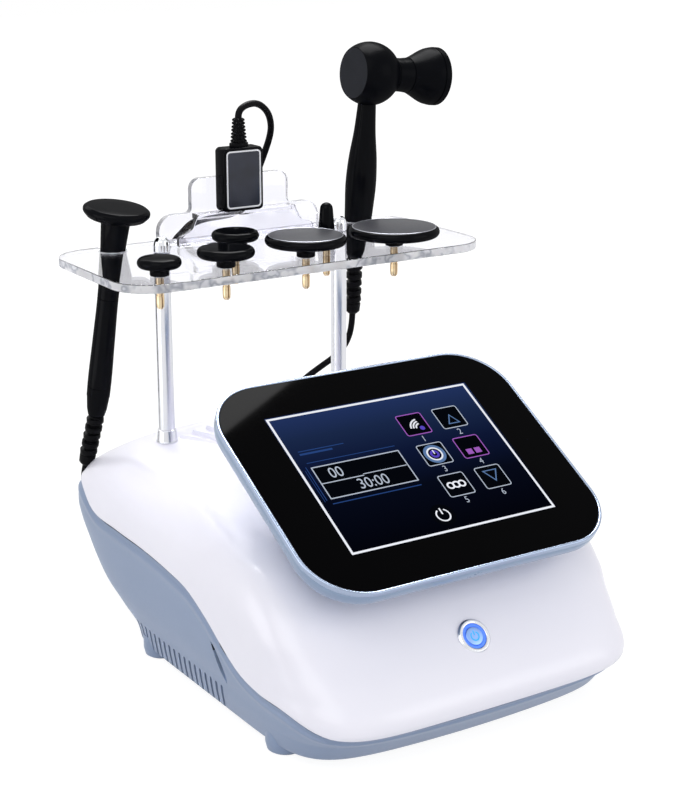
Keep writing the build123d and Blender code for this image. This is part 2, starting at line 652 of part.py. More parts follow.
with BuildPart() as button_bezel:
    button_ring(bezel_r, bezel_bore_r, 0, bezel_height)
    chamfer(button_bezel.faces().sort_by(Axis(button_centre, button_normal))[-1].edges(),
            length=bezel_chamfer)
    button_ring(bezel_tube_r, bezel_bore_r, -bezel_tube_length, 0)
save(button_bezel, "button_bezel")

with BuildPart() as button_light_ring:
    button_ring(ring_r, ring_bore_r, bezel_height - ring_drop - ring_height, bezel_height - ring_drop)
save(button_light_ring, "button_light_ring")

cap_top = bezel_height - cap_drop
with BuildPart() as button_cap:
    with BuildSketch(button.offset(cap_top - button_height)):
        Circle(ring_bore_r - cap_gap)
    extrude(amount=button_height)
    fillet(button_cap.faces().sort_by(Axis(button_centre, button_normal))[-1].edges(), radius=cap_fillet)
save(button_cap, "button_cap")

barrel_top = cap_top - button_height - button_travel - touch - plunger_length
with BuildPart() as button_barrel:
    with BuildSketch(button.offset(barrel_top + plunger_length)):
        Circle(plunger_r)
    extrude(amount=-plunger_length)
    with BuildSketch(button.offset(barrel_top)):
        Circle(bezel_bore_r - close_fit)
    extrude(amount=-barrel_length)
    with BuildSketch(button.offset(barrel_top - barrel_length)):
        with GridLocations(barrel_pin_pitch, barrel_pin_pitch, 2, 2):
            Rectangle(barrel_pin[0], barrel_pin[1])
    extrude(amount=-barrel_pin[2])
save(button_barrel, "button_barrel")

# Posts and tray

for side, name in ((-1, "post_left"), (1, "post_right")):
    with BuildPart() as post:
        with Locations((side * post_x, post_y, post_foot)):
            Cylinder(post_d / 2, tray_bottom - post_foot, align=(Align.CENTER, Align.CENTER, Align.MIN))
            Cylinder(spigot_r, spigot_length, align=(Align.CENTER, Align.CENTER, Align.MAX))
        with Locations((side * post_x, post_y, tray_bottom)):
            Cylinder(stud_r + close_fit, stud_length, align=(Align.CENTER, Align.CENTER, Align.MAX),
                     mode=Mode.SUBTRACT)
    save(post, name)

with BuildPart() as post_collars:
    with Locations((-post_x, post_y, post_foot), (post_x, post_y, post_foot)):
        Cone(collar_d / 2, collar_top_d / 2, collar_height, align=(Align.CENTER, Align.CENTER, Align.MIN))
        Cylinder(post_d / 2 + close_fit, 3 * collar_height, mode=Mode.SUBTRACT)
save(post_collars, "post_collars")

with BuildPart() as post_nuts:
    with BuildSketch(Plane.XY.offset(post_foot - upper_wall - touch)):
        with Locations((-post_x, post_y), (post_x, post_y)):
            RegularPolygon(nut_r, 6)
            Circle(spigot_r + close_fit, mode=Mode.SUBTRACT)
    extrude(amount=-nut_height)
save(post_nuts, "post_nuts")

with BuildPart() as post_caps:
    with Locations((-post_x, post_y, tray_top), (post_x, post_y, tray_top)):
        Cylinder(cap_d / 2, cap_height, align=(Align.CENTER, Align.CENTER, Align.MIN))
    fillet(post_caps.faces().group_by(Axis.Z)[-1].edges(), radius=cap_d / 2 - cap_nub)
    with Locations((-post_x, post_y, tray_top), (post_x, post_y, tray_top)):
        Cylinder(stud_r, stud_length, align=(Align.CENTER, Align.CENTER, Align.MAX))
save(post_caps, "post_caps")

with BuildPart() as tray:
    with BuildSketch(Plane.XY.offset(tray_bottom)):
        with Locations((0, (tray_front + tray_rear) / 2)):
            RectangleRounded(tray_width, tray_rear - tray_front, tray_corner)
        with Locations((-post_x, post_y), (post_x, post_y)):
            Circle(stud_r + close_fit, mode=Mode.SUBTRACT)
        with Locations(*[(x, y) for _, x, y, _, _ in heads]):
            Circle(pin_r + slip, mode=Mode.SUBTRACT)
        for hole, hole_r in ((left_hole, left_hole_r), (hammer_hole, hammer_hole_r)):
            with Locations(hole):
                Circle(hole_r, mode=Mode.SUBTRACT)
                Rectangle(slot_width, tray_rear - hole[1] + slot_width, align=(Align.CENTER, Align.MIN),
                          mode=Mode.SUBTRACT)
    extrude(amount=tray_thickness)
save(tray, "tray")

with BuildPart() as rest_back_plate:
    with BuildSketch(Plane.XZ.offset(-plate_y)):
        with Locations((0, tray_top)):
            Rectangle(2 * plate_half_low, plate_low_top - tray_top, align=(Align.CENTER, Align.MIN))
            Rectangle(2 * plate_half_high, plate_high_top - tray_top, align=(Align.CENTER, Align.MIN))
        low_corners = vertices().group_by(Axis.Y)[1].sort_by(Axis.X)
        fillet([low_corners[0], low_corners[-1]], radius=plate_low_corner)
        fillet(vertices().group_by(Axis.Y)[-1], radius=plate_high_corner)
    extrude(amount=-plate_thickness)
save(rest_back_plate, "rest_back_plate")

with BuildPart() as rest_step:
    with BuildSketch(Plane.XZ.offset(-step_y)):
        with BuildLine():
            Polyline(
                (-step_half_foot, tray_top), (-step_half_foot, tray_top + step_straight),
                (-step_half_top, step_top), (step_half_top, step_top),
                (step_half_foot, tray_top + step_straight), (step_half_foot, tray_top),
                (-step_half_foot, tray_top),
            )
        make_face()
        fillet(vertices().group_by(Axis.Y)[1], radius=step_corner)
    extrude(amount=-step_wall)
    with BuildSketch(Plane.XZ.offset(-step_y)):
        with Locations((0, step_top)):
            Rectangle(2 * step_half_top, step_wall, align=(Align.CENTER, Align.MAX))
    extrude(amount=step_y - plate_y + touch)
save(rest_step, "rest_step")

# Heads on their pins


def disc_profile(radius):
    """Half section of a flat head with a rounded rim, on a neck that stands on the tray."""
    under = disc_bottom + disc_neck_height
    Line((0, disc_top), (radius - disc_lip, disc_top))
    ThreePointArc((radius - disc_lip, disc_top), (radius, disc_top - disc_bulge), (radius - disc_undercut, under))
    Polyline((radius - disc_undercut, under), (disc_neck_r, under), (disc_neck_r, disc_bottom),
             (0, disc_bottom), (0, disc_top))


def dish_profile(radius):
    """Half section of the head with a hollowed top."""
    under = disc_bottom + disc_neck_height
    ThreePointArc((0, dish_top - dish_depth), (radius * dish_waist, dish_top - dish_depth * (1 - dish_waist**2)),
                  (radius - disc_lip, dish_top))
    ThreePointArc((radius - disc_lip, dish_top), (radius, dish_top - disc_bulge), (radius - disc_undercut, under))
    Polyline((radius - disc_undercut, under), (disc_neck_r, under), (disc_neck_r, disc_bottom),
             (0, disc_bottom), (0, dish_top - dish_depth))


def bullet_profile(radius):
    """Half section of the tapered head with a round nose."""
    nose = bullet_top - bullet_tip_r
    ThreePointArc((0, bullet_top), (bullet_tip_r * sin(pi / 4), nose + bullet_tip_r * cos(pi / 4)),
                  (bullet_tip_r, nose))
    Polyline((bullet_tip_r, nose), (radius, disc_bottom + bullet_chamfer), (radius - bullet_chamfer, disc_bottom),
             (0, disc_bottom), (0, bullet_top))


profiles = {"disc": disc_profile, "dish": dish_profile, "bullet": bullet_profile}
for name, x, y, radius, kind in heads:
    with BuildPart() as head:
        with BuildSketch(Plane.XZ.offset(-y).shift_origin((x, y, 0))):
            with BuildLine():
                profiles[kind](radius)
            make_face()
        revolve(axis=Axis((x, y, 0), (0, 0, 1)))
    save(head, f"{name}_head")
    with BuildPart() as pin:
        with Locations((x, y, disc_bottom)):
            Cylinder(pin_r, disc_bottom - pin_tip_z, align=(Align.CENTER, Align.CENTER, Align.MAX))
        chamfer(pin.faces().sort_by(Axis.Z)[0].edges(), length=pin_chamfer)
    save(pin, f"{name}_pin")

# Reliefs


def ribbed_relief(grip, start, end, top_r):
    """A rubber sleeve from the grip's end: a core, tilted ribs and a tapered collar."""
    way = Vector(*end) - Vector(*start)
    plane = Plane(origin=start, x_dir=(1, 0, 0), z_dir=way)
    length = way.length
    ribs_length = length - relief_collar_length
    pitch = ribs_length / relief_ribs
    with BuildPart() as sleeve:
        with BuildSketch(plane):
            Circle(relief_core_r)
        extrude(amount=ribs_length + relief_collar_draw)
        for i in range(relief_ribs):
            with BuildSketch(plane.offset((i + relief_rib_start) * pitch).rotated((0, relief_rib_tilt, 0))):
                Circle(relief_rib_r - relief_rib_draw * i)
            extrude(amount=relief_rib_width / 2, both=True)
        with BuildSketch(plane.offset(ribs_length)):
            Circle(relief_collar_r)
        with BuildSketch(plane.offset(length)):
            Circle(relief_collar_r - relief_collar_draw)
        loft()
        with BuildSketch(plane.offset(-relief_root)):
            Circle(top_r)
        extrude(amount=relief_root_height)
        add(grip, mode=Mode.SUBTRACT)
    return sleeve


def grip_profile(upper, lower, joint):
    """Half section of a grip: a smooth swell above a joint line, straight tapers under it."""
    top, bottom = upper[0], lower[-1]
    Line((0, top[0]), (top[1], top[0]))
    Spline(*[(r, z) for z, r in upper])
    Polyline((upper[-1][1], upper[-1][0]), (upper[-1][1] - grip_joint_depth, upper[-1][0]),
             (upper[-1][1] - grip_joint_depth, upper[-1][0] - joint))
    Polyline((upper[-1][1] - grip_joint_depth, upper[-1][0] - joint), (lower[0][1], upper[-1][0] - joint),
             *[(r, z) for z, r in lower], (0, bottom[0]), (0, top[0]))


# Left handle

with BuildPart() as handle_disc:
    with BuildSketch(left_plane.offset(handle_disc_low)):
        Circle(handle_disc_r)
    extrude(amount=handle_disc_high - handle_disc_low)
    left_axis = Axis(left_plane.origin, left_plane.z_dir)
    fillet(handle_disc.edges().filter_by(GeomType.CIRCLE).sort_by(left_axis)[-1],
           radius=handle_disc_edge)
    fillet(handle_disc.edges().filter_by(GeomType.CIRCLE).sort_by(left_axis)[0],
           radius=handle_disc_under)
save(handle_disc, "handle_disc")

left_section = Plane(origin=left_plane.origin, x_dir=left_plane.x_dir, z_dir=-left_plane.y_dir)
with BuildPart() as handle_grip:
    with BuildSketch(left_section):
        with BuildLine():
            grip_profile(left_grip, left_grip_low, grip_joint_width)
        make_face()
    revolve(axis=left_axis)
save(handle_grip, "handle_grip")

left_body_end = left_plane.origin + left_plane.z_dir * left_grip_low[-1][0]
handle_relief = ribbed_relief(
    handle_grip.part, tuple(left_body_end), left_relief_end, left_grip_low[-1][1] - relief_root_inset)
save(handle_relief, "handle_relief")

# Hammer-shaped handle

ball_centre = hammer_plane.origin + hammer_plane.z_dir * ball_height
bell_way = Vector(1, 0, -bell_droop).normalized()
bell_section = Plane(origin=ball_centre, x_dir=bell_way, z_dir=(0, -1, 0))
with BuildPart() as hammer_head:
    with BuildSketch(bell_section):
        with BuildLine():
            facet_r = (ball_r**2 - facet_distance**2) ** 0.5
            neck_start = (ball_r**2 - neck_r**2) ** 0.5
            Polyline((neck_start, 0), (-facet_distance, 0), (-facet_distance, facet_r))
            ThreePointArc((-facet_distance, facet_r), (0, ball_r), (neck_start, neck_r))
            Line((neck_start, neck_r), (neck_start, 0))
        make_face()
    revolve(axis=Axis(ball_centre, bell_way))
    with BuildSketch(bell_section):
        with BuildLine():
            groove_end, groove_r = neck_end + neck_groove_width, neck_r - neck_groove_depth
            Polyline((0, 0), (0, neck_r), (neck_end, neck_r), (neck_end, groove_r), (groove_end, groove_r),
                     (groove_end, neck_r))
            ThreePointArc((groove_end, neck_r),
                          ((neck_end + bell_start) / 2 + bell_swell_shift, neck_r + bell_swell),
                          (bell_start, bell_r))
            Polyline((bell_start, bell_r), (bell_end, bell_r), (bell_end, 0), (0, 0))
        make_face()
    revolve(axis=Axis(ball_centre, bell_way))
save(hammer_head, "hammer_head")

hammer_section = Plane(origin=hammer_plane.origin, x_dir=hammer_plane.x_dir, z_dir=-hammer_plane.y_dir)
hammer_axis = Axis(hammer_plane.origin, hammer_plane.z_dir)
with BuildPart() as hammer_grip:
    with BuildSketch(hammer_section):
        with BuildLine():
            grip_profile(hammer_grip_profile, hammer_grip_low, grip_joint_width)
        make_face()
    revolve(axis=hammer_axis)
    add(hammer_head.part, mode=Mode.SUBTRACT)
save(hammer_grip, "hammer_grip")

hammer_body_end = hammer_plane.origin + hammer_plane.z_dir * hammer_grip_low[-1][0]
hammer_relief = ribbed_relief(
    hammer_grip.part, tuple(hammer_body_end), hammer_relief_end, hammer_grip_low[-1][1] - relief_root_inset)
save(hammer_relief, "hammer_relief")

# Flat plug on the rest

plug_y = plate_y - slip - plug_thickness / 2
plug_foot = step_top + touch
with BuildPart() as plug_case:
    with Locations((plug_x, plug_y, plug_foot)):
        Box(plug_width, plug_thickness, plug_height, align=(Align.CENTER, Align.CENTER, Align.MIN))
    fillet(plug_case.edges().filter_by(Axis.Y), radius=plug_corner)
    fillet(plug_case.faces().sort_by(Axis.Y)[0].edges(), radius=plug_edge)
    with BuildSketch(Plane.XZ.offset(-plug_y + plug_thickness / 2)):
        with Locations((plug_x, plug_foot + plug_height / 2)):
            RectangleRounded(plug_width - 2 * label_margin, plug_height - 2 * label_margin, plug_corner)
    extrude(amount=-label_depth, mode=Mode.SUBTRACT)
save(plug_case, "plug_case")

with BuildPart() as plug_label:
    with BuildSketch(Plane.XZ.offset(-plug_y + plug_thickness / 2 - label_depth)):
        with Locations((plug_x, plug_foot + plug_height / 2)):
            RectangleRounded(plug_width - 2 * label_margin - 2 * close_fit,
                             plug_height - 2 * label_margin - 2 * close_fit, plug_corner - close_fit)
    extrude(amount=label_depth)
save(plug_label, "plug_label")

plug_top = plug_foot + plug_height
relief_top = plug_top + plug_flange_height + plug_relief_height
with BuildPart() as plug_relief:
    with BuildSketch(Plane.XY.offset(plug_top)):
        with Locations((plug_x, plug_y)):
            Ellipse(plug_flange_r, plug_flange_half)
    extrude(amount=plug_flange_height)
    with BuildSketch(Plane.XY.offset(plug_top)):
        with Locations((plug_x, plug_y)):
            Circle(plug_core_r)
    extrude(amount=relief_top - plug_top)
    rib_pitch = plug_relief_height / plug_relief_ribs
    for i in range(plug_relief_ribs):
        with BuildSketch(Plane.XY.offset(plug_top + plug_flange_height + (i + plug_rib_start) * rib_pitch)):
            with Locations((plug_x, plug_y)):
                Circle(plug_relief_r - plug_rib_draw * i)
        extrude(amount=rib_pitch * plug_rib_share)
save(plug_relief, "plug_relief")

# Cords


def corner_radii(route):
    """Arc radius at each inner point: a share of the shorter run over the tangent of half the turn."""
    radii = []
    for before, here, after in zip(route, route[1:], route[2:]):
        run_in, run_out = Vector(*here) - Vector(*before), Vector(*after) - Vector(*here)
        half_turn = radians(run_in.get_angle(run_out)) / 2
        share_in = end_share if before is route[0] else corner_share
        share_out = end_share if after is route[-1] else corner_share
        radii.append(min(share_in * run_in.length, share_out * run_out.length) / tan(half_turn))
    return radii


def straight_end(behind, face, reach):
    """First two points of a run that leaves a face straight, on the line from behind it."""
    way = (Vector(*face) - Vector(*behind)).normalized()
    return tuple(Vector(*face) + way * touch), tuple(Vector(*face) + way * reach)


def cord_run(route, name):
    """A free stretch of cord along the route."""
    radii = corner_radii(route)
    with BuildPart() as tube:
        with BuildLine() as path:
            FilletPolyline(*route, radius=radii)
        with BuildSketch(path.line ^ 0):
            Circle(cord_d / 2)
        sweep()
    length = path.wires()[0].length
    print(name, "length", round(length), "radii", [round(r) for r in radii])
    save(tube, name)
    return length


def coil_half_turns():
    """Radius of each half turn: inwards, the half turn that climbs, and outwards again."""
    inwards = [coil_radius + coil_pitch / 2 * (coil_turns - 0.5 - k) for k in range(2 * coil_turns)]
    return [*inwards, inwards[-1] - coil_pitch / 2, *reversed(inwards)]


def coil_run(centre_x, way, name):
    """Cord wound in two layers: it enters and leaves along X, at the front and at the back."""
    radii = coil_half_turns()
    low = cord_d / 2 + floor_gap
    reach, height, points = -radii[0], low, []
    for k, radius in enumerate(radii):
        side = 1 if k % 2 == 0 else -1
        climb = coil_pitch if k == 2 * coil_turns else 0
        start = (centre_x, coil_y + reach, height)
        middle = (centre_x + way * side * radius, coil_y + reach + side * radius, height + climb / 2)
        reach, height = reach + 2 * side * radius, height + climb
        points.append((start, middle, (centre_x, coil_y + reach, height)))
    first, last = points[0][0], points[-1][2]
    enter = (first[0] - way * lead, first[1], first[2])
    leave = (last[0] - way * lead, last[1], last[2])
    with BuildPart() as coil:
        with BuildLine() as path:
            Line(enter, first)
            for arc in points:
                ThreePointArc(*arc)
            Line(last, leave)
        with BuildSketch(Plane(origin=enter, x_dir=(0, 1, 0), z_dir=(way, 0, 0))):
            Circle(cord_d / 2)
        sweep()
    wire = path.wires()[0]
    steps = int(wire.length / 3)
    places = [wire @ (i / steps) for i in range(steps + 1)]
    gap = min(
        (places[i] - places[j]).length for i in range(steps + 1) for j in range(i + 8, steps + 1)
    ) - cord_d
    print(name, "length", round(wire.length), "least gap", round(gap, 2))
    save(coil, name)
    return enter, leave, wire.length


left_enter, left_leave, left_coil_length = coil_run(left_coil_x, 1, "left_cord_coil")
hammer_enter, hammer_leave, hammer_coil_length = coil_run(hammer_coil_x, -1, "hammer_cord_coil")

left_length = cord_run(
    (*straight_end(left_body_end, left_relief_end, run_end), *left_route,
     *reversed(straight_end((left_coil_x, *left_enter[1:]), left_enter, run_end))), "left_cord_run")
rise_length = cord_run(
    (*straight_end((left_coil_x, *left_leave[1:]), left_leave, run_end), *rise_route,
     *reversed(straight_end(
         (plug_x, plug_y, plug_top), (plug_x, plug_y, relief_top), loop_end))), "left_cord_rise")
hammer_length = cord_run(
    (*straight_end(hammer_body_end, hammer_relief_end, run_end), *hammer_route,
     *reversed(straight_end((hammer_coil_x, *hammer_enter[1:]), hammer_enter, run_end))),
    "hammer_cord_run")
print("left cord", round(left_length + left_coil_length + rise_length))
print("hammer cord", round(hammer_length + hammer_coil_length))

with BuildPart() as hammer_cord_plug:
    plug_plane = Plane(origin=hammer_leave, x_dir=(0, 1, 0), z_dir=(1, 0, 0))
    with BuildSketch(plug_plane.offset(touch)):
        Circle(cord_d / 2)
    with BuildSketch(plug_plane.offset(cord_plug_relief)):
        Circle(cord_plug_relief_r)
    loft()
    with BuildSketch(plug_plane.offset(cord_plug_relief)):
        Circle(cord_plug_r)
    extrude(amount=cord_plug_length)
    with BuildSketch(plug_plane.offset(cord_plug_relief + cord_plug_length)):
        Circle(socket_bore_r - slip)
    extrude(amount=cord_plug_tip)
save(hammer_cord_plug, "hammer_cord_plug")
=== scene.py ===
# %% [markdown]
# # A radio frequency skin-care machine
# A desktop machine: a white shell on a blue-grey base, a tilted touch screen, a lit power
# button, and a clear tray on two posts that holds two corded handles, six treatment heads
# and a flat plug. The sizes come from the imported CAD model, which this scene loads first and
# never moves. Each piece below is built in millimetres in that model's own frame.

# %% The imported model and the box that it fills
from math import atan2, cos, degrees, pi, radians, sin, tan

import bmesh
import bpy
import numpy as np
from mathutils import Matrix, Vector


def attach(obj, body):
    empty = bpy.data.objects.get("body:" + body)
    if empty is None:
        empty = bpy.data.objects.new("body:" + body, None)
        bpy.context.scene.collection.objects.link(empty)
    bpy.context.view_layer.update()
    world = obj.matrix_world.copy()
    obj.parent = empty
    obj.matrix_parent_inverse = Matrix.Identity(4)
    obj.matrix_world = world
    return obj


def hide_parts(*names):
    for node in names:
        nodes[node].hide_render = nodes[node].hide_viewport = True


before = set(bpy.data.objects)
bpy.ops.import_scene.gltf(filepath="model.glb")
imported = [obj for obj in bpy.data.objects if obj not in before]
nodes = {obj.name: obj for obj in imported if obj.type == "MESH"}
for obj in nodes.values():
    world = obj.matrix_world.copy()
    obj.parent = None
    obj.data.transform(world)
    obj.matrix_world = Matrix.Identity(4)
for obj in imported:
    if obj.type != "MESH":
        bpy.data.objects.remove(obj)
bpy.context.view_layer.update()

MM = 0.001

# %% [markdown]
# ## Camera
# The photograph's vanishing points gave the camera: it stands in front and to the left,
# looks 16 degrees down and has a fairly long lens, so the machine hardly tapers. The image
# is upright, so the lens is set against the sensor's height.

# %% Camera at the photograph's place
CAMERA_PLACE = Vector((-0.6320, -0.9574, 0.5305))
CAMERA_TURN, CAMERA_PITCH = radians(-32.91), radians(16.26)
CAMERA_LENS, SENSOR_HEIGHT = 79.775, 36


def photo_camera():
    """A camera that looks where the photographer's did."""
    camera = bpy.data.cameras.new("photo_camera")
    camera.sensor_fit = "VERTICAL"
    camera.sensor_height = SENSOR_HEIGHT
    camera.lens = CAMERA_LENS
    camera.clip_end = 20
    holder = bpy.data.objects.new("photo_camera", camera)
    holder.location = CAMERA_PLACE
    holder.rotation_euler = (pi / 2 - CAMERA_PITCH, 0, CAMERA_TURN)
    bpy.context.scene.collection.objects.link(holder)
    bpy.context.scene.camera = holder
    return holder


print("camera at", tuple(photo_camera().location))
bpy.context.scene.view_settings.view_transform = "Standard"


# %% [markdown]
# ## Node helpers
# Shader maths reads best as an expression, so a small class wraps a socket and turns
# `1 - mask * 0.2` into Math nodes. Every other node comes from one function that sets its
# settings first and then its sockets.

# %% Filling sockets, and sockets that take part in sums
def feed(tree, socket, value):
    """Links a wire into a socket, or writes a plain value there."""
    if isinstance(value, Wire):
        tree.links.new(value.socket, socket)
    else:
        socket.default_value = value


def add_node(tree, kind, settings=None, sockets=None):
    """A node with its settings, then its sockets, filled in."""
    node = tree.nodes.new(kind)
    for key, value in (settings or {}).items():
        if key == "stops":
            ramp = node.color_ramp.elements
            while len(ramp) < len(value):
                ramp.new(0.5)
            for element, (place, colour) in zip(ramp, value):
                element.position = place
                element.color = (*colour[:3], 1)
        else:
            setattr(node, key, value)
    for key, value in (sockets or {}).items():
        feed(tree, node.inputs[key], value)
    return node


class Wire:
    """A socket's value, for use in sums."""

    def __init__(self, tree, socket):
        self.tree, self.socket = tree, socket

    def math(self, operation, *others):
        node = add_node(self.tree, "ShaderNodeMath", {"operation": operation})
        for socket, value in zip(node.inputs, (self, *others)):
            feed(self.tree, socket, value)
        return Wire(self.tree, node.outputs[0])

    def __add__(self, other):
        return self.math("ADD", other)

    __radd__ = __add__

    def __mul__(self, other):
        return self.math("MULTIPLY", other)

    __rmul__ = __mul__

    def __sub__(self, other):
        return self.math("SUBTRACT", other)

    def __rsub__(self, other):
        return (self * -1).math("ADD", other)

    def __truediv__(self, other):
        return self.math("DIVIDE", other)


# %% [markdown]
# ## One finish
# A finish is one material round Blender's Principled shader. The class below keeps its node
# tree, and its methods add what most finishes here need: noise of a given grain in
# millimetres, a mix of two colours, and relief. The noise reads Object coordinates, because
# every piece stands in the machine's own frame, so the grain never stretches.

# %% Colours, and the class that holds one finish
def tint(code):
    """Linear colour of a #rrggbb code."""
    parts = [int(code[i:i + 2], 16) / 255 for i in (1, 3, 5)]
    return (*[c / 12.92 if c <= 0.04045 else ((c + 0.055) / 1.055) ** 2.4 for c in parts], 1.0)


class Finish:
    """One procedural material round a Principled shader."""

    def __init__(self, name, **sockets):
        self.material = bpy.data.materials.new(name)
        self.material.use_nodes = True
        self.tree = self.material.node_tree
        self.tree.nodes.clear()
        self.shader = add_node(self.tree, "ShaderNodeBsdfPrincipled")
        self.out = add_node(self.tree, "ShaderNodeOutputMaterial")
        self.tree.links.new(self.shader.outputs[0], self.out.inputs["Surface"])
        for key, value in sockets.items():
            self.set(key.replace("_", " "), value)

    def set(self, socket, value):
        feed(self.tree, self.shader.inputs[socket], value)

    def node(self, kind, settings=None, sockets=None, out=0):
        return Wire(self.tree, add_node(self.tree, kind, settings, sockets).outputs[out])

    def noise(self, size, detail=2, stretch=(1, 1, 1)):
        """Soft noise whose patches are about size millimetres across."""
        place = self.node("ShaderNodeMapping", sockets={
            "Vector": self.node("ShaderNodeTexCoord", out="Object"),
            "Scale": tuple(s / size / MM for s in stretch)})
        return self.node("ShaderNodeTexNoise", sockets={
            "Vector": place, "Scale": 1.0, "Detail": detail, "Roughness": 0.5})

    def mix(self, factor, first, second):
        """Colour between first and second."""
        node = add_node(self.tree, "ShaderNodeMix", {"data_type": "RGBA"})
        feed(self.tree, node.inputs["Factor"], factor)
        feed(self.tree, node.inputs[6], first)
        feed(self.tree, node.inputs[7], second)
        return Wire(self.tree, node.outputs[2])

    def bump(self, height, strength, depth):
        """Relief of depth millimetres."""
        self.set("Normal", self.node("ShaderNodeBump", sockets={
            "Height": height, "Strength": strength, "Distance": depth * MM}))


# %% Patches of colour, uneven gloss and fine relief in one call
def coated(name, colours, rough, relief=None, patches=(10,), **sockets):
    """A finish in one colour, or patches of two.

    rough is a value, then how far noise varies it and the noise's settings. relief is the
    noise's settings, then the strength and depth of its bumps.
    """
    made = Finish(name, **sockets)
    if len(colours) == 2:
        made.set("Base Color", made.mix(made.noise(*patches), *map(tint, colours)))
    else:
        made.set("Base Color", tint(colours[0]))
    least, spread, *grain = rough
    made.set("Roughness", least + made.noise(*grain) * spread if spread else least)
    if relief:
        *grain, strength, depth = relief
        made.bump(made.noise(*grain), strength, depth)
    return made


# %% [markdown]
# ## Finishes of the body
# The upper shell is gloss-painted white plastic with a lavender cast in its shade. The base
# is moulded blue-grey plastic with a fine spark-eroded grain. Both get a very slow change of
# colour, and the gloss one the faint waviness of sprayed lacquer.

# %% White lacquer, blue-grey moulding and the pale steel-blue of the screen's back
white = coated("white_lacquer", ("#F5F4FD", "#EFEEF9"), (0.28, 0), (14, 1, 0.04, 0.12), (90,),
               Coat_Weight=0.2, Coat_Roughness=0.14)
blue = coated("blue_grey_moulding", ("#8495B2", "#8D9DB9"), (0.36, 0.1, 3, 3),
              (0.7, 2, 0.12, 0.05), (60,))
# Painted shade: a dark copy of the blue-grey for the slots' walls, the dents and the ledge under
# the seam.
painted_shade_blue = coated("blue_grey_painted_shade", ("#1B2230", "#232B3B"), (0.5, 0.1, 2, 2), None, (4,))
housing_blue = coated("steel_blue_gloss", ("#8196B4", "#8DA1BD"), (0.25, 0.08, 5, 2), None, (50,),
                      Coat_Weight=0.3, Coat_Roughness=0.1)

# %% [markdown]
# ## Finishes of the handles, heads and cords
# The heads and grips are black plastic that has been polished, so they are nearly free of grey
# and show the lamps as soft streaks. Their flat faces are lapped to a dull satin, which is its
# own finish, and the hammer's ball is in between. The gloss comes from a weak coat over a
# plastic without a mirror of its own, which keeps the white room from turning them grey. The
# cords and reliefs are soft black PVC with a dull sheen.

# %% Black gloss, dark satin, soft black rubber
NO_MIRROR = {"Specular_IOR_Level": 0.0}
black = coated("black_gloss", ["#08090D"], (0.3, 0.1, 6, 3), (9, 1, 0.05, 0.08),
               Coat_Weight=0.1, Coat_Roughness=0.1, **NO_MIRROR)
half_gloss = coated("black_half_gloss", ["#08090D"], (0.34, 0.1, 5, 3), (0.6, 2, 0.06, 0.03),
                    Coat_Weight=0.06, Coat_Roughness=0.3, **NO_MIRROR)
satin = coated("black_satin_face", ("#34353B", "#404148"), (0.34, 0.12, 1.6, 3),
               (0.5, 2, 0.08, 0.03), (12, 3), Specular_IOR_Level=0.06)
facet_satin = coated("darker_satin_facet", ("#191B21", "#22242B"), (0.36, 0.12, 1.6, 3), None,
                     (12, 3), Specular_IOR_Level=0.06)
# A thin bright ring round each lapped face: a painted highlight on the face's edge.
face_edge = coated("face_edge_painted_highlight", ["#8B8D95"], (0.24, 0.1, 2, 2), Metallic=0.8)
rubber = coated("soft_black_pvc", ("#09090B", "#101013"), (0.36, 0.16, 2.5, 3),
                (0.6, 2, 0.2, 0.05), (7, 3), Specular_IOR_Level=0.05)
screen_black = coated("black_screen_glass", ["#010102"], (0.03, 0.02, 40, 2),
                      Specular_IOR_Level=0.018)

# %% [markdown]
# ## Metals
# The posts are polished aluminium bar, so their marks run round the bar. The pins are turned
# brass with darker patches where hands have dulled it. The caps on the posts and the round
# plug's nose are chrome, and the screws zinc-plated steel. A metal's colour is the colour of
# its reflections, so uneven roughness and fine relief do most of the work.

# %% Polished aluminium, brass, chrome and plain steel
BAR_RINGS, PIN_RINGS = (1, 2, (0.15, 0.15, 3)), (0.5, 2, (0.1, 0.1, 2))
aluminium = coated("polished_aluminium", ["#D9DADF"], (0.17, 0.12, *BAR_RINGS),
                   (*BAR_RINGS, 0.1, 0.02), Metallic=1.0)
brass = coated("turned_brass", ("#E8DABD", "#BE9E72"), (0.14, 0.12, *PIN_RINGS),
               (*PIN_RINGS, 0.15, 0.03), (5, 3), Metallic=1.0)
chrome = coated("bright_chrome", ["#E4E6EA"], (0.06, 0.06, 4, 2), Metallic=1.0)
steel = coated("zinc_steel", ["#A6A7AA"], (0.3, 0.2, 2, 3), Metallic=1.0)

# %% [markdown]
# ## Clear acrylic
# The tray and the rest are sawn and flame-polished acrylic sheet, almost colourless. It
# bends light (index 1.49) and lets most of it through; a shadow ray passes straight, as it
# nearly does through real sheet, so the shell under the tray stays bright. The sawn edges get
# a pale colour with greyer patches, painted light and painted reflections, so they look pale
# from outside and from within.

# %% Clear sheet
acrylic = Finish("clear_acrylic", Base_Color=tint("#F7F7FD"), Roughness=0.0, IOR=1.49,
                 Transmission_Weight=1.0)
shadow_ray = acrylic.node("ShaderNodeLightPath", out="Is Shadow Ray")
clear = add_node(acrylic.tree, "ShaderNodeBsdfTransparent", sockets={"Color": tint("#F3F3FA")})
sheet_mix = add_node(acrylic.tree, "ShaderNodeMixShader")
feed(acrylic.tree, sheet_mix.inputs[0], shadow_ray * 0.9)
acrylic.tree.links.new(acrylic.shader.outputs[0], sheet_mix.inputs[1])
acrylic.tree.links.new(clear.outputs[0], sheet_mix.inputs[2])
acrylic.tree.links.new(sheet_mix.outputs[0], acrylic.out.inputs["Surface"])

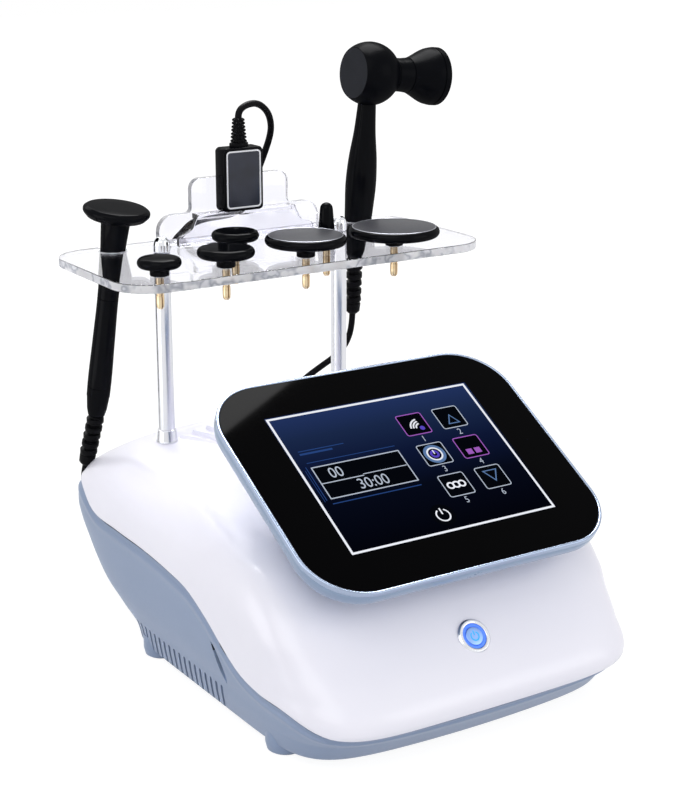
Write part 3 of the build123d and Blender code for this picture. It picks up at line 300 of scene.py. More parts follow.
# Painted light on the sheet's edges: a pale colour with greyer patches of painted reflection.
sheet_edge = coated("acrylic_edge_painted_light", ["#FDFDFF"], (0.3, 0.2, 3, 2), IOR=1.3,
                    Transmission_Weight=0.6)
sheet_edge.set("Base Color", sheet_edge.node("ShaderNodeValToRGB", {"stops": [
    (0.48, tint("#FDFDFF")), (0.58, tint("#A9ADB8")), (0.64, tint("#F4F5FA"))]}, {
        "Fac": sheet_edge.noise(13, 2)}))

# %% [markdown]
# ## Plain finishes inside and behind
# Nothing of the inside shows in the photograph, but the machine is looked at from all sides,
# so the boards, the supply and the sockets get plain finishes of their own.

# %% Boards, moulded black, sheet metal and fins
moulded = coated("moulded_black", ["#141417"], (0.45, 0.15, 2, 3), (0.6, 2, 0.15, 0.05))
board = coated("green_board", ("#1C5A34", "#22693E"), (0.35, 0.1, 2, 2), None, (6, 4))
foot_rubber = coated("foot_pad_rubber", ["#1A1A1D"], (0.6, 0.2, 1.5, 3))


def repaint(finish, *names):
    """Gives CAD nodes a better finish."""
    for name in names:
        for slot in nodes[name].material_slots:
            slot.material = finish.material


repaint(moulded, "handle_sockets", "mains_inlet", "button_barrel", "fan_frame", "fan_rotor")
repaint(board, "rf_board", "control_board")
repaint(steel, "case_screws", "tablet_screws", "post_nuts", "chassis_plate", "board_standoffs",
        "power_supply")
repaint(aluminium, "heat_sink")
repaint(blue, "rear_panel")
repaint(foot_rubber, "foot_pads")
repaint(screen_black, "front_glass", "lcd_panel")
repaint(white, "tablet_neck")
print("finishes", len(bpy.data.materials))


# %% [markdown]
# ## Mesh helpers
# Most of this machine is either turned on a lathe, cut from flat sheet, or moulded through
# a stack of smooth sections, so three small makers cover nearly all of it. Each takes
# millimetres and an axis frame, and leaves the object at the origin with its place in its
# mesh, as the CAD nodes have theirs.

# %% Frames and new pieces
def axis_frame(origin, z_axis, x_hint=(1, 0, 0)):
    """A frame in millimetres with its Z along z_axis and its X near x_hint."""
    z = Vector(z_axis).normalized()
    x = (Vector(x_hint) - z * Vector(x_hint).dot(z)).normalized()
    y = z.cross(x)
    return Matrix((*((x[i], y[i], z[i], origin[i]) for i in range(3)), (0, 0, 0, 1)))


UPRIGHT = Matrix.Identity(4)
# Local Y points up and local Z to the front.
STANDING = Matrix(((1, 0, 0, 0), (0, 0, -1, 0), (0, 1, 0, 0), (0, 0, 0, 1)))


def new_piece(name, points, faces, base=UPRIGHT, sharp_above=32, recalculate=True):
    """A mesh piece from points in millimetres in the base frame."""
    mesh = bpy.data.meshes.new(name)
    mesh.from_pydata([(base @ Vector(p)) * MM for p in points], [], faces)
    piece = bpy.data.objects.new(name, mesh)
    bpy.context.scene.collection.objects.link(piece)
    polish(piece, sharp_above, recalculate)
    return piece


def polish(piece, sharp_above=32, recalculate=True):
    """Merges doubles, points faces outwards, and shades smooth but for sharp edges."""
    work = bmesh.new()
    work.from_mesh(piece.data)
    bmesh.ops.remove_doubles(work, verts=work.verts, dist=0.002 * MM)
    if recalculate:
        bmesh.ops.recalc_face_normals(work, faces=work.faces)
    for face in work.faces:
        face.smooth = True
    for edge in work.edges:
        edge.smooth = len(edge.link_faces) == 2 and edge.calc_face_angle() < radians(sharp_above)
    work.to_mesh(piece.data)
    work.free()


# %% A piece's finish and body
def settle(piece, finish, body, slot, *replaced):
    """A piece gets its finish, its body and the CAD nodes it stands for; slot is not used."""
    piece.data.materials.clear()
    piece.data.materials.append(finish.material)
    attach(piece, body)
    if replaced:
        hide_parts(*replaced)
    print(piece.name, "rides on", body)
    return piece


# %% Arcs and rounded lines
def arc(centre, radius, start, end, steps):
    """Points of an arc, angles in degrees."""
    turn = [radians(start + (end - start) * k / steps) for k in range(steps + 1)]
    return [(centre[0] + radius * cos(a), centre[1] + radius * sin(a)) for a in turn]


def rounded(corners, closed=False, steps=5):
    """Points of a line through (x, y, radius) corners, with an arc at each corner."""
    points = []
    for i, (x, y, radius) in enumerate(corners):
        here = Vector((x, y))
        if radius == 0 or (not closed and i in (0, len(corners) - 1)):
            points.append((x, y))
            continue
        to_last = (Vector(corners[i - 1][:2]) - here).normalized()
        to_next = (Vector(corners[(i + 1) % len(corners)][:2]) - here).normalized()
        half = to_last.angle(to_next) / 2
        centre = here + (to_last + to_next).normalized() * radius / sin(half)
        start = here + to_last * radius / tan(half) - centre
        end = here + to_next * radius / tan(half) - centre
        first, last = degrees(atan2(start.y, start.x)), degrees(atan2(end.y, end.x))
        last = first + (last - first + 180) % 360 - 180
        points += arc(centre, radius, first, last, steps)
    return points


# %% The lathe
def bridge(rings, closed=False):
    """Faces between neighbouring rings of point numbers; a ring of one is a pole."""
    faces = []
    pairs = list(zip(rings, rings[1:])) + ([(rings[-1], rings[0])] if closed else [])
    for low, high in pairs:
        count = max(len(low), len(high))
        for i in range(count):
            j = (i + 1) % count
            if len(low) == 1:
                faces.append((low[0], high[j], high[i]))
            elif len(high) == 1:
                faces.append((low[i], low[j], high[0]))
            else:
                faces.append((low[i], low[j], high[j], high[i]))
    return faces


def lathe(name, profile, base=UPRIGHT, segments=96, closed=False, sharp_above=32, flutes=0,
          flute_depth=0.0):
    """A turned piece from (radius, height) pairs; flutes cut narrow grooves along it."""
    points, rings = [], []
    for radius, height in profile:
        if radius < 1e-6:
            rings.append([len(points)])
            points.append((0, 0, height))
            continue
        rings.append(list(range(len(points), len(points) + segments)))
        for k in range(segments):
            in_flute = flutes and (k * flutes) % segments < flutes
            reach, turn = radius - (flute_depth if in_flute else 0), 2 * pi * k / segments
            points.append((reach * cos(turn), reach * sin(turn), height))
    return new_piece(name, points, bridge(rings, closed), base, sharp_above)


# %% [markdown]
# ## Cutting flat sheet
# The tray and the rest are flat sheet with holes in it. Their loops are filled with
# triangles, thickened and given eased edges, as a saw and a flame leave real acrylic. A loft
# or a Boolean could do it too, but this keeps the broad faces flat and the holes round.

# %% The sheet cutter
def even_shading(piece):
    """Keeps broad flat faces flat to the eye beside their rounded edges."""
    weighted = piece.modifiers.new("even_shading", "WEIGHTED_NORMAL")
    weighted.keep_sharp = True
    weighted.weight = 100


def pale_edges(piece, thickness_way):
    """Gives the faces that stand square to a sheet the edge colour of painted light and
    reflections.
    """
    piece.data.materials.append(sheet_edge.material)
    for face in piece.data.polygons:
        if abs(face.normal.dot(Vector(thickness_way))) < 0.3:
            face.material_index = 1


def sheet_cut(name, loops, thickness, edge, base=UPRIGHT):
    """A flat sheet cut to closed loops, the outline first, with eased edges."""
    work = bmesh.new()
    for loop in loops:
        corners = [work.verts.new((x, y, 0)) for x, y in loop]
        for a, b in zip(corners, corners[1:] + corners[:1]):
            work.edges.new((a, b))
    bmesh.ops.triangle_fill(work, use_beauty=True, use_dissolve=False, edges=work.edges[:])
    bmesh.ops.dissolve_limit(work, angle_limit=0.01, verts=work.verts[:], edges=work.edges[:])
    grown = bmesh.ops.extrude_face_region(work, geom=work.faces[:])
    raised = [g for g in grown["geom"] if isinstance(g, bmesh.types.BMVert)]
    bmesh.ops.translate(work, verts=raised, vec=(0, 0, thickness))
    bmesh.ops.recalc_face_normals(work, faces=work.faces)
    rim = [e for e in work.edges if len(e.link_faces) == 2 and e.calc_face_angle() > radians(60)]
    bmesh.ops.bevel(work, geom=rim, offset=edge, segments=2, profile=0.5, affect="EDGES")
    bmesh.ops.transform(work, matrix=Matrix.Scale(MM, 4) @ base, verts=work.verts)
    mesh = bpy.data.meshes.new(name)
    work.to_mesh(mesh)
    work.free()
    piece = bpy.data.objects.new(name, mesh)
    bpy.context.scene.collection.objects.link(piece)
    polish(piece, 50)
    even_shading(piece)
    return piece


# %% Rounded boxes and the loft
def box_loop(width, height, radius, centre=(0, 0), steps=10):
    """Closed outline of a box with rounded corners."""
    x, y = width / 2, height / 2
    corners = [(-x, -y, radius), (x, -y, radius), (x, y, radius), (-x, y, radius)]
    return [(px + centre[0], py + centre[1]) for px, py in rounded(corners, True, steps)]


def loft(name, sections, base=UPRIGHT, sharp_above=32, poles=True):
    """A skin over (outline, height) sections of equal point counts, closed flat at both ends."""
    points, rings = [], []
    for outline, height in sections:
        rings.append(list(range(len(points), len(points) + len(outline))))
        points += [(x, y, height) for x, y in outline]
    faces = bridge(rings)
    if poles:
        faces += [tuple(reversed(rings[0])), tuple(rings[-1])]
    return new_piece(name, points, faces, base, sharp_above)


# %% [markdown]
# ## Smooth curves through measured values
# The body's sections were measured at fourteen heights. A cubic through them, with slopes
# taken from the neighbours on each side, gives the moulding its unbroken sweep.

# %% A smooth curve through values
def smooth_through(values, at, where):
    """Values at some places, on a smooth curve through the values given at others."""
    values, at, where = np.asarray(values, float), np.asarray(at, float), np.asarray(where, float)
    step = np.diff(at)
    slope = np.diff(values, axis=0) / step[:, None]
    tangent = np.empty_like(values)
    tangent[0], tangent[-1] = slope[0], slope[-1]
    before, after = step[:-1, None], step[1:, None]
    tangent[1:-1] = (slope[:-1] * after + slope[1:] * before) / (before + after)
    i = np.clip(np.searchsorted(at, where, side="right") - 1, 0, len(step) - 1)
    h = step[i][:, None]
    s = ((where - at[i]) / step[i])[:, None]
    return (values[i] * (2 * s**3 - 3 * s**2 + 1) + tangent[i] * h * (s**3 - 2 * s**2 + s)
            + values[i + 1] * (3 * s**2 - 2 * s**3) + tangent[i + 1] * h * (s**3 - s**2))


# %% [markdown]
# ## Cutting
# A moulding's slots, dents and holes are cut by closed pieces with the Boolean modifier, as a
# core pin leaves them in the real part. The result is made a plain mesh at once, so that no
# modifier is left on a piece.

# %% Cutting one closed piece with another
def plain_mesh(piece):
    """Turns what a piece's modifiers make into its own mesh, and removes them."""
    ready = piece.evaluated_get(bpy.context.evaluated_depsgraph_get())
    mesh = bpy.data.meshes.new_from_object(ready)
    piece.modifiers.clear()
    piece.data = mesh


def carve(piece, cutter, operation="DIFFERENCE"):
    """Cuts a closed piece with another closed one, which is then gone."""
    before = len(piece.data.vertices)
    cut = piece.modifiers.new("cut", "BOOLEAN")
    cut.operation, cut.solver, cut.object = operation, "MANIFOLD", cutter
    plain_mesh(piece)
    after = len(piece.data.vertices)
    print(piece.name, operation.lower(), cutter.name, "points", before, "to", after)
    bpy.data.objects.remove(cutter)


# %% [markdown]
# ## Geometry Nodes for what repeats
# The vent slots, feet, fins and relief ribs repeat by a rule, so a tree places copies of one
# small template along a line. Its inputs are the count, the pitch, and the turn and shift
# from one copy to the next. The result is kept as a plain mesh.

# %% A row of copies as a Geometry Nodes tree
def row_tree():
    """Copies of a template along a line, each turned a step further than the last."""
    tree = bpy.data.node_groups.new("row_of_copies", "GeometryNodeTree")
    tree.interface.new_socket("Geometry", in_out="OUTPUT", socket_type="NodeSocketGeometry")
    kinds = {"Template": "Object", "Finish": "Material", "Count": "Int"}
    for name in (*kinds, "Start", "Step", "First Turn", "Turn Step", "Every Other Turn"):
        kind = kinds.get(name, "Vector")
        tree.interface.new_socket(name, in_out="INPUT", socket_type=f"NodeSocket{kind}")
    given = {s.name: Wire(tree, s) for s in tree.nodes.new("NodeGroupInput").outputs}

    def step(kind, settings, sockets, out=0):
        return Wire(tree, add_node(tree, kind, settings, sockets).outputs[out])

    line = step("GeometryNodeMeshLine", {"mode": "OFFSET"}, {
        "Count": given["Count"], "Start Location": given["Start"], "Offset": given["Step"]})
    index = step("GeometryNodeInputIndex", {}, {})
    turn = step("ShaderNodeVectorMath", {"operation": "MULTIPLY_ADD"}, {
        0: given["Turn Step"], 1: index, 2: given["First Turn"]})
    sway = step("ShaderNodeVectorMath", {"operation": "MULTIPLY_ADD"}, {
        0: given["Every Other Turn"], 1: index.math("MODULO", 2.0), 2: turn})
    template = step("GeometryNodeObjectInfo", {"transform_space": "ORIGINAL"}, {
        "Object": given["Template"]}, "Geometry")
    copies = step("GeometryNodeInstanceOnPoints", {}, {
        "Points": line, "Instance": template, "Rotation": sway})
    real = step("GeometryNodeRealizeInstances", {}, {0: copies})
    coat = step("GeometryNodeSetMaterial", {}, {"Geometry": real, "Material": given["Finish"]})
    add_node(tree, "NodeGroupOutput", {}, {0: coat})
    return tree


ROW = row_tree()


# %% The tree at work on one template
def row_of(name, template, finish, count, start=(0, 0, 0), step=(0, 0, 0), first_turn=(0, 0, 0),
           turn_step=(0, 0, 0), sway=(0, 0, 0), base=UPRIGHT):
    """Runs the row tree in millimetres, then puts its mesh in the base frame."""
    piece = bpy.data.objects.new(name, bpy.data.meshes.new(name))
    bpy.context.scene.collection.objects.link(piece)
    shaper = piece.modifiers.new("row", "NODES")
    shaper.node_group = ROW
    sockets = {item.name: item.identifier for item in ROW.interface.items_tree
               if item.in_out == "INPUT"}
    values = {"Template": template, "Finish": finish.material, "Count": count,
              "Start": [c * MM for c in start], "Step": [c * MM for c in step],
              "First Turn": [radians(c) for c in first_turn],
              "Turn Step": [radians(c) for c in turn_step],
              "Every Other Turn": [radians(c) for c in sway]}
    for key, value in values.items():
        shaper[sockets[key]] = value
    plain_mesh(piece)
    bpy.data.objects.remove(template)
    placed = base.copy()
    placed.translation = base.translation * MM
    piece.data.transform(placed)
    polish(piece)
    print(name, "made of", count, "copies,", len(piece.data.polygons), "faces")
    return piece


# %% [markdown]
# ## The two cords
# Each handle's cord is one smooth NURBS line with a round section, so it bends the way a
# soft 5 mm PVC lead does. The left one leaves its handle, drops behind the shell, lies in a
# two-layer coil, and climbs behind the left post to the flat plug on the rest. The other
# drops from the hammer-shaped handle to a coil of its own, beside which its plug lies. The
# coils keep the length that the photograph doesn't show. Their turns come from a loop. Where
# the photograph shows a cord, some points lie up to 10 mm from the CAD's route.

# %% Routes in millimetres
CORD_WIDTH, COIL_PITCH, COIL_RADIUS, COIL_Y = 5, 5.5, 27.5, 232
COIL_LOW = 2.55
POINTS_PER_HALF_TURN = 8
LEFT_ROUTE = [(-112, 207, 88), (-101, 213, 68), (-89, 212, 48), (-79, 206, 27), (-72, 200, 9)]
RISE_ROUTE = [
    (-72, 263, 12), (-79, 252, 23), (-81, 238, 40), (-73, 227, 60), (-61, 221, 79),
    (-44, 219, 99), (-37.8, 217, 121), (-39.3, 214.2, 147), (-41.2, 210.2, 173),
    (-44, 205, 202), (-46.5, 200.5, 229), (-49.5, 196.5, 250), (-41.8, 192, 275.2),
    (-36.7, 187, 282.3), (-33, 181, 289.6), (-25.2, 176.5, 293.1), (-14.5, 174.5, 294),
    (-3.1, 173.5, 294.9), (6.4, 173.5, 298.9), (13.3, 173.3, 307.3), (18.5, 173, 318.2),
    (23.3, 172, 329.2), (26.3, 169.5, 339.4), (29, 166.5, 351), (28.2, 163, 360.2),
    (23.8, 160.3, 370.2), (14, 157.3, 377.3), (3.6, 154.8, 377.6)]
HAMMER_ROUTE = [
    (107, 182, 178), (100.5, 186, 168), (90, 191, 160), (78, 199, 149), (69, 209, 134),
    (64, 217, 114), (65, 220.5, 92), (72, 219, 68), (81, 212, 46), (87, 204, 27),
    (82, 198.5, 10)]
LEFT_RELIEF_END, HAMMER_RELIEF_END = (-117.8, 195, 112.9), (109.3, 177.2, 203.3)
PLUG_RELIEF_TOP = (-5, 153.7, 368.3)
LEFT_LEAN, HAMMER_LEAN = (0.082, -0.1364, 1), (0.034, -0.082, 1)
LEFT_HOLE, HAMMER_HOLE = (-101.6, 168.5, 279), (110.3, 171, 279)
LEFT_GRIP_LOW, HAMMER_GRIP_LOW = 128, 34  # how far each grip reaches below its hole


# %% Points along a lean and beside a place
def along(origin, lean, distance):
    """The point at a distance from origin along a lean."""
    return tuple(Vector(origin) + Vector(lean).normalized() * distance)


def straight_start(behind, face):
    """Two points that leave a face square to it."""
    way = Vector(face) - Vector(behind)
    return [along(face, way, 0.1), along(face, way, 12)]


def shifted(place, axis, *distances):
    """Copies of a place, each moved along one axis."""
    return [tuple(c + d * (i == axis) for i, c in enumerate(place)) for d in distances]


# %% [markdown]
# ## Winding a coil
# A cord that is put away lies in a flat coil. Each half turn is an arc whose radius is a half
# pitch smaller than the last, so the turns lie side by side. After six of them the line
# climbs to a second layer and winds out again, and both ends leave on the outside.

# %% A coil of two layers
def coil_points(centre_x, way):
    """Two layers of turns, wound in and out again, and the places where they start and end."""
    inwards = [COIL_RADIUS + COIL_PITCH / 2 * (2.5 - k) for k in range(6)]
    radii = [*inwards, inwards[-1] - COIL_PITCH / 2, *reversed(inwards)]
    spread = 1 / (0.75 + 0.25 * cos(pi / POINTS_PER_HALF_TURN))
    reach, height, turns = -radii[0], COIL_LOW, []
    first = (centre_x, COIL_Y + reach, height)
    for k, radius in enumerate(radii):
        side = 1 if k % 2 == 0 else -1
        climb = COIL_PITCH if k == 6 else 0
        for step in range(POINTS_PER_HALF_TURN):
            part = (step + 0.5) / POINTS_PER_HALF_TURN
            turns.append((
                centre_x + way * side * radius * spread * sin(pi * part),
                COIL_Y + reach + side * radius - side * radius * spread * cos(pi * part),
                height + climb * part))
        reach, height = reach + 2 * side * radius, height + climb
    last = (centre_x, COIL_Y + reach, height)
    print("coil of", len(turns), "points, from", first, "to", last)
    return first, turns, last


# %% One cord as a NURBS line
def cord_line(name, points):
    """One open NURBS spline with a round section."""
    curve = bpy.data.curves.new(name, "CURVE")
    curve.dimensions = "3D"
    curve.bevel_depth = CORD_WIDTH / 2 * MM
    curve.bevel_resolution = 5
    curve.resolution_u = 5
    curve.use_fill_caps = True
    spline = curve.splines.new("NURBS")
    spline.points.add(len(points) - 1)
    for point, place in zip(spline.points, points):
        point.co = (*[c * MM for c in place], 1)
    spline.order_u = 3
    spline.use_endpoint_u = True
    cord = bpy.data.objects.new(name, curve)
    bpy.context.scene.collection.objects.link(cord)
    return cord


# %% Both cords in place
left_first, left_turns, left_last = coil_points(-40, 1)
left_cord = cord_line("left_cord", [
    *straight_start(along(LEFT_HOLE, LEFT_LEAN, -LEFT_GRIP_LOW), LEFT_RELIEF_END), *LEFT_ROUTE,
    *shifted(left_first, 0, -18, -6.1), *left_turns, *shifted(left_last, 0, -6.1, -18),
    *RISE_ROUTE, *shifted(PLUG_RELIEF_TOP, 2, 5.1, 0.1)])
hammer_first, hammer_turns, hammer_last = coil_points(48, -1)
hammer_cord = cord_line("hammer_cord", [
    *straight_start(along(HAMMER_HOLE, HAMMER_LEAN, -HAMMER_GRIP_LOW), HAMMER_RELIEF_END),
    *HAMMER_ROUTE, *shifted(hammer_first, 0, 18, 6.1), *hammer_turns,
    *shifted(hammer_last, 0, 6)])
settle(left_cord, rubber, "machine", "cord_black", "left_cord_run", "left_cord_coil",
       "left_cord_rise")
settle(hammer_cord, rubber, "machine", "cord_black", "hammer_cord_run", "hammer_cord_coil")

# %% [markdown]
# ## The body's sweep
# The body is one form cut by a seam: fourteen measured sections give its front, rear, half
# width and corner at each height. Each section is a superellipse, whose power comes from the
# corner, so light runs round the corners without a break. Above the foot the rear and front
# corners are squarer than the CAD's, as the photograph shows them, and the foot of the front
# bows back towards its ends. Every column of points is then split exactly where the seam's
# curve crosses it, so both shells meet along a clean line.

# %% Sections and seam
SECTIONS = np.array([  # height, front, rear, half width, corner
    (6, -141, 127, 126, 38), (20, -153, 134, 130, 46), (30, -160, 157, 132, 50),
    (42, -159, 177, 135, 54), (55, -147, 189, 136, 56), (67, -133, 198, 136, 57),
    (80, -120, 206, 136, 58), (95, -107, 210, 135, 58), (107, -92, 207, 131, 57),
    (114, -79, 203, 127, 56), (120, -62, 199, 122, 54), (126, -36, 193, 115, 52),
    (131, 3, 186, 108, 48), (137, 93, 174, 86, 38)], float)
SEAM = np.array([  # Y, height
    (-210, 29), (-159, 29), (-112, 42), (-87, 44), (-65, 49), (-44, 60), (-21, 73), (0, 82),
    (31, 87), (70, 90), (109, 91), (150, 94), (170, 102), (260, 108)], float)
COLUMNS = 288
STEPS = np.linalg.norm(np.diff(SECTIONS[:, :4], axis=0), axis=1)
SWEEP = np.concatenate([[0], np.cumsum(STEPS)])
ANGLES = np.arange(COLUMNS) * 2 * pi / COLUMNS
CORNER_SHARE = 1 - cos(pi / 4)
LOW_BOW = 10  # how far the foot of the front runs back towards its ends
REAR_SQUARER, FRONT_SQUARER = 0.32, 0.42  # shares taken off the corners


# %% Points on the body
def ramp(distance, length):
    """Rises from 0 to 1 over a length."""
    return np.clip(distance / length, 0, 1)


def body_points(sweep, inset=0.0, lift=0.0):
    """One ring of the body, a point a column, drawn in by inset and raised by lift."""
    z, front, rear, half, corner = smooth_through(SECTIONS, SWEEP, sweep).T
    depth = (rear - front) / 2
    rear_share = REAR_SQUARER * ramp(z - 36, 50) * (np.sin(ANGLES) > 0)
    front_share = FRONT_SQUARER * ramp(z - 50, 30) * (np.sin(ANGLES) < 0)
    corner = corner * (1 - (rear_share + front_share) * ramp(131 - z, 15))
    share = 1 - CORNER_SHARE * corner * (1 / half + 1 / depth) / 2
    power = np.log(0.5) / np.log(share)
    across = np.abs(np.cos(ANGLES)) / (half - inset)
    back = np.abs(np.sin(ANGLES)) / (depth - inset)
    reach = (across**power + back**power) ** (-1 / power)
    x, y = reach * np.cos(ANGLES), (front + rear) / 2 + reach * np.sin(ANGLES)
    bow = LOW_BOW * ramp(32 - z, 12) * (x / half) ** 2 * (np.sin(ANGLES) < 0)
    return np.stack([x, y + bow * np.minimum(-np.sin(ANGLES) * 2, 1), z + lift], axis=1)


# %% Where each column meets the seam or a height
def seam_height(y):
    return smooth_through(SEAM[:, 1:], SEAM[:, 0], np.clip(y, -210, 260))[:, 0]


def sweep_where(above):
    """For each column, the place along the sweep where a test on its points turns true."""
    low, high = np.zeros(COLUMNS), np.full(COLUMNS, SWEEP[-1])
    for _ in range(36):
        middle = (low + high) / 2
        passed = above(body_points(middle))
        high, low = np.where(passed, middle, high), np.where(passed, low, middle)
    return high


def sweep_at_seam(offset):
    return sweep_where(lambda p: p[:, 2] > seam_height(p[:, 1]) + offset)


def sweep_at_height(height):
    return sweep_where(lambda p: p[:, 2] > height)


# %% Skins through rings of points
def ring_skin(name, rings, sharp_above):
    """A closed skin through rings of points, with a pole at each end."""
    points, numbers = [], []
    for ring in rings:
        numbers.append(list(range(len(points), len(points) + len(ring))))
        points += [tuple(p) for p in ring]
    return new_piece(name, points, bridge(numbers), sharp_above=sharp_above)


def drawn_to_middle(ring, shares):
    """Rings that shrink from one towards its middle, and their pole."""
    middle = ring.mean(axis=0)
    return [middle + (ring - middle) * share for share in shares] + [middle[None, :]]


print("body sweep", round(float(SWEEP[-1])), "mm")

# %% [markdown]
# ## The white upper shell
# Its rings run from the middle of the top down the outside to the seam, round a 3 mm edge
# with a small radius, and back up the inside, so the shell has its real wall.

# %% Upper shell
UPPER_WALL = 3.0
at_seam = sweep_at_seam(0.0)
top_ring = body_points(np.full(COLUMNS, SWEEP[-1]))
outside = [body_points(at_seam + (SWEEP[-1] - at_seam) * s) for s in np.linspace(0, 1, 76)[1:]]
edge = [body_points(at_seam, *drawn) for drawn in ((UPPER_WALL,), (0.5,), (0.12, 0.15), (0.0, 0.6))]
inside = [body_points(at_seam + (SWEEP[-1] - at_seam) * s, UPPER_WALL, -(UPPER_WALL + 5) * s**2)
          for s in np.linspace(0, 1, 24)[1:]]
rings = drawn_to_middle(inside[-1], (0.75, 0.5, 0.25))[::-1] + inside[::-1] + edge + outside
rings += drawn_to_middle(top_ring, (0.97, 0.9, 0.75, 0.5, 0.25))
upper_shell = ring_skin("upper_shell_moulding", rings, 40)
print("upper shell", len(rings), "rings")

# %% [markdown]
# ## The fan-shaped hollow between the posts
# Behind the screen the top dips into a shallow hollow with thin fins that spread like a fan.
# It is cut from the shell as a loft with eased sides. The fins are one wedge, copied by the
# row tree with a turn from each to the next.

# %% Hollow, fins and the button's hole
TOP_Z, HOLLOW_FOCUS = 137, (0, 40)
FINS, FIRST_FIN, FIN_STEP = 9, 64.4, 6.4  # count, then degrees


def fan_outline(inner, outer, half_angle):
    """Closed outline of a fan round the focus."""
    return [*arc(HOLLOW_FOCUS, inner, 90 + half_angle, 90 - half_angle, 24),
            *arc(HOLLOW_FOCUS, outer, 90 - half_angle, 90 + half_angle, 24)]


hollow_cutter = loft("hollow_cutter", [
    (fan_outline(86, 128, 29), TOP_Z - 4.5), (fan_outline(85, 130, 29.8), TOP_Z - 4.0),
    (fan_outline(80, 133, 31), TOP_Z - 0.6), (fan_outline(78, 136, 31.6), TOP_Z + 1),
    (fan_outline(76, 140, 32.2), TOP_Z + 6)])
carve(upper_shell, hollow_cutter)

fin = loft("fin_template", [
    (((84, -0.6), (84, 0.6), (131, 2.4), (131, -2.4)), TOP_Z - 4.8),
    (((88, -0.2), (88, 0.2), (130, 1.1), (130, -1.1)), TOP_Z - 1.2)])
fan_fins = row_of("fan_fins", fin, white, FINS, first_turn=(0, 0, FIRST_FIN),
                  turn_step=(0, 0, FIN_STEP), base=Matrix.Translation((*HOLLOW_FOCUS, 0)))
settle(fan_fins, white, "machine", "white_shell")

BUTTON_PLACE, BUTTON_RISE = (0, -133, 67), radians(42)
BUTTON_WAY = (0, -cos(BUTTON_RISE), sin(BUTTON_RISE))
HOLE_R, HOLE_REACH = 11.4, 9
button_base = axis_frame(BUTTON_PLACE, BUTTON_WAY)
carve(upper_shell, lathe("button_hole", [
    (0, -HOLE_REACH), (HOLE_R, -HOLE_REACH), (HOLE_R, HOLE_REACH), (0, HOLE_REACH)],
    button_base, 64))
settle(upper_shell, white, "machine", "white_shell", "upper_shell")
polish(upper_shell, 40, False)

# %% [markdown]
# ## The blue-grey base
# Under the seam a thin shadow line, then a narrow raised band, a soft ridge, and the wall
# itself, which tapers in to a flat floor. The same columns carry it, so the band keeps its
# width all the way round.

# %% Lower shell
BASE_INSET, BASE_WALL, FLOOR_Z = 1.5, 2.5, 6.2
ridge = [  # height over the seam, inset
    (4.0, 5.6), (4.0, 4.8), (-2.4, 4.8), (-2.5, 3.4), (-2.7, 2.6), (-3.2, 2.4), (-4.8, 2.3),
    (-5.4, 2.0), (-6.1, 1.3), (-6.8, 0.8), (-7.6, 0.65), (-8.8, 0.85), (-10.4, 1.25),
    (-12.5, BASE_INSET)]
seam_rings = [body_points(sweep_at_seam(offset), inset) for offset, inset in ridge]
wall_top, wall_low = sweep_at_seam(ridge[-1][0]), sweep_at_height(FLOOR_Z + 3)
wall = [body_points(wall_top + (wall_low - wall_top) * s, BASE_INSET)
        for s in np.linspace(0, 1, 50)[1:]]
turn_under = [body_points(sweep_at_height(FLOOR_Z + up), inset)
              for up, inset in ((1.5, 1.6), (0.7, 2.1), (0.2, 2.9), (0.0, 4.2))]
floor_rings = drawn_to_middle(turn_under[-1], (0.8, 0.55, 0.3))
inner = [body_points(wall_top + (wall_low - wall_top) * s, BASE_INSET + BASE_WALL)
         for s in np.linspace(0, 1, 26)]
inner_floor = drawn_to_middle(body_points(wall_low, BASE_INSET + BASE_WALL), (0.8, 0.55, 0.3))
rings = inner_floor[::-1] + inner[::-1] + seam_rings + wall + turn_under + floor_rings
lower_shell = ring_skin("lower_shell_moulding", rings, 40)
print("lower shell", len(rings), "rings")

# %% [markdown]
# ## Vent slots, side dents and the niche at the back
# The slots lean a little and go right through the wall on both sides, down to the base's
# lower edge. One slot-shaped bar that reaches through the whole base is copied along the row
# and cut away. Near the front slot each side has a thumb-nail dent, sharp at its rear edge.
# At the back a niche is let in for the sockets. The slots' walls, the dents and the gap
# under the seam are painted darker, as painted shade, because little light gets in there.

# %% Vents
VENT_COUNT, VENT_PITCH, VENT_LEAN = 18, 7.45, 14
VENT_MIDDLE, SLOT_WIDTH, SLOT_LENGTH = (0, 33.7, 15.3), 2.7, 22
side_ways = Matrix(((0, 0, 1, 0), (1, 0, 0, 0), (0, 1, 0, 0), (0, 0, 0, 1)))
slot_loop = box_loop(SLOT_WIDTH, SLOT_LENGTH, SLOT_WIDTH / 2 - 0.01, steps=5)
slot_bar = loft("slot_bar", [(slot_loop, -200), (slot_loop, 200)], side_ways)
first_vent = (0, VENT_MIDDLE[1] - VENT_PITCH * (VENT_COUNT - 1) / 2, VENT_MIDDLE[2])
carve(lower_shell, row_of("vent_cutter", slot_bar, blue, VENT_COUNT, start=first_vent,
                          step=(0, VENT_PITCH, 0), first_turn=(VENT_LEAN, 0, 0)))

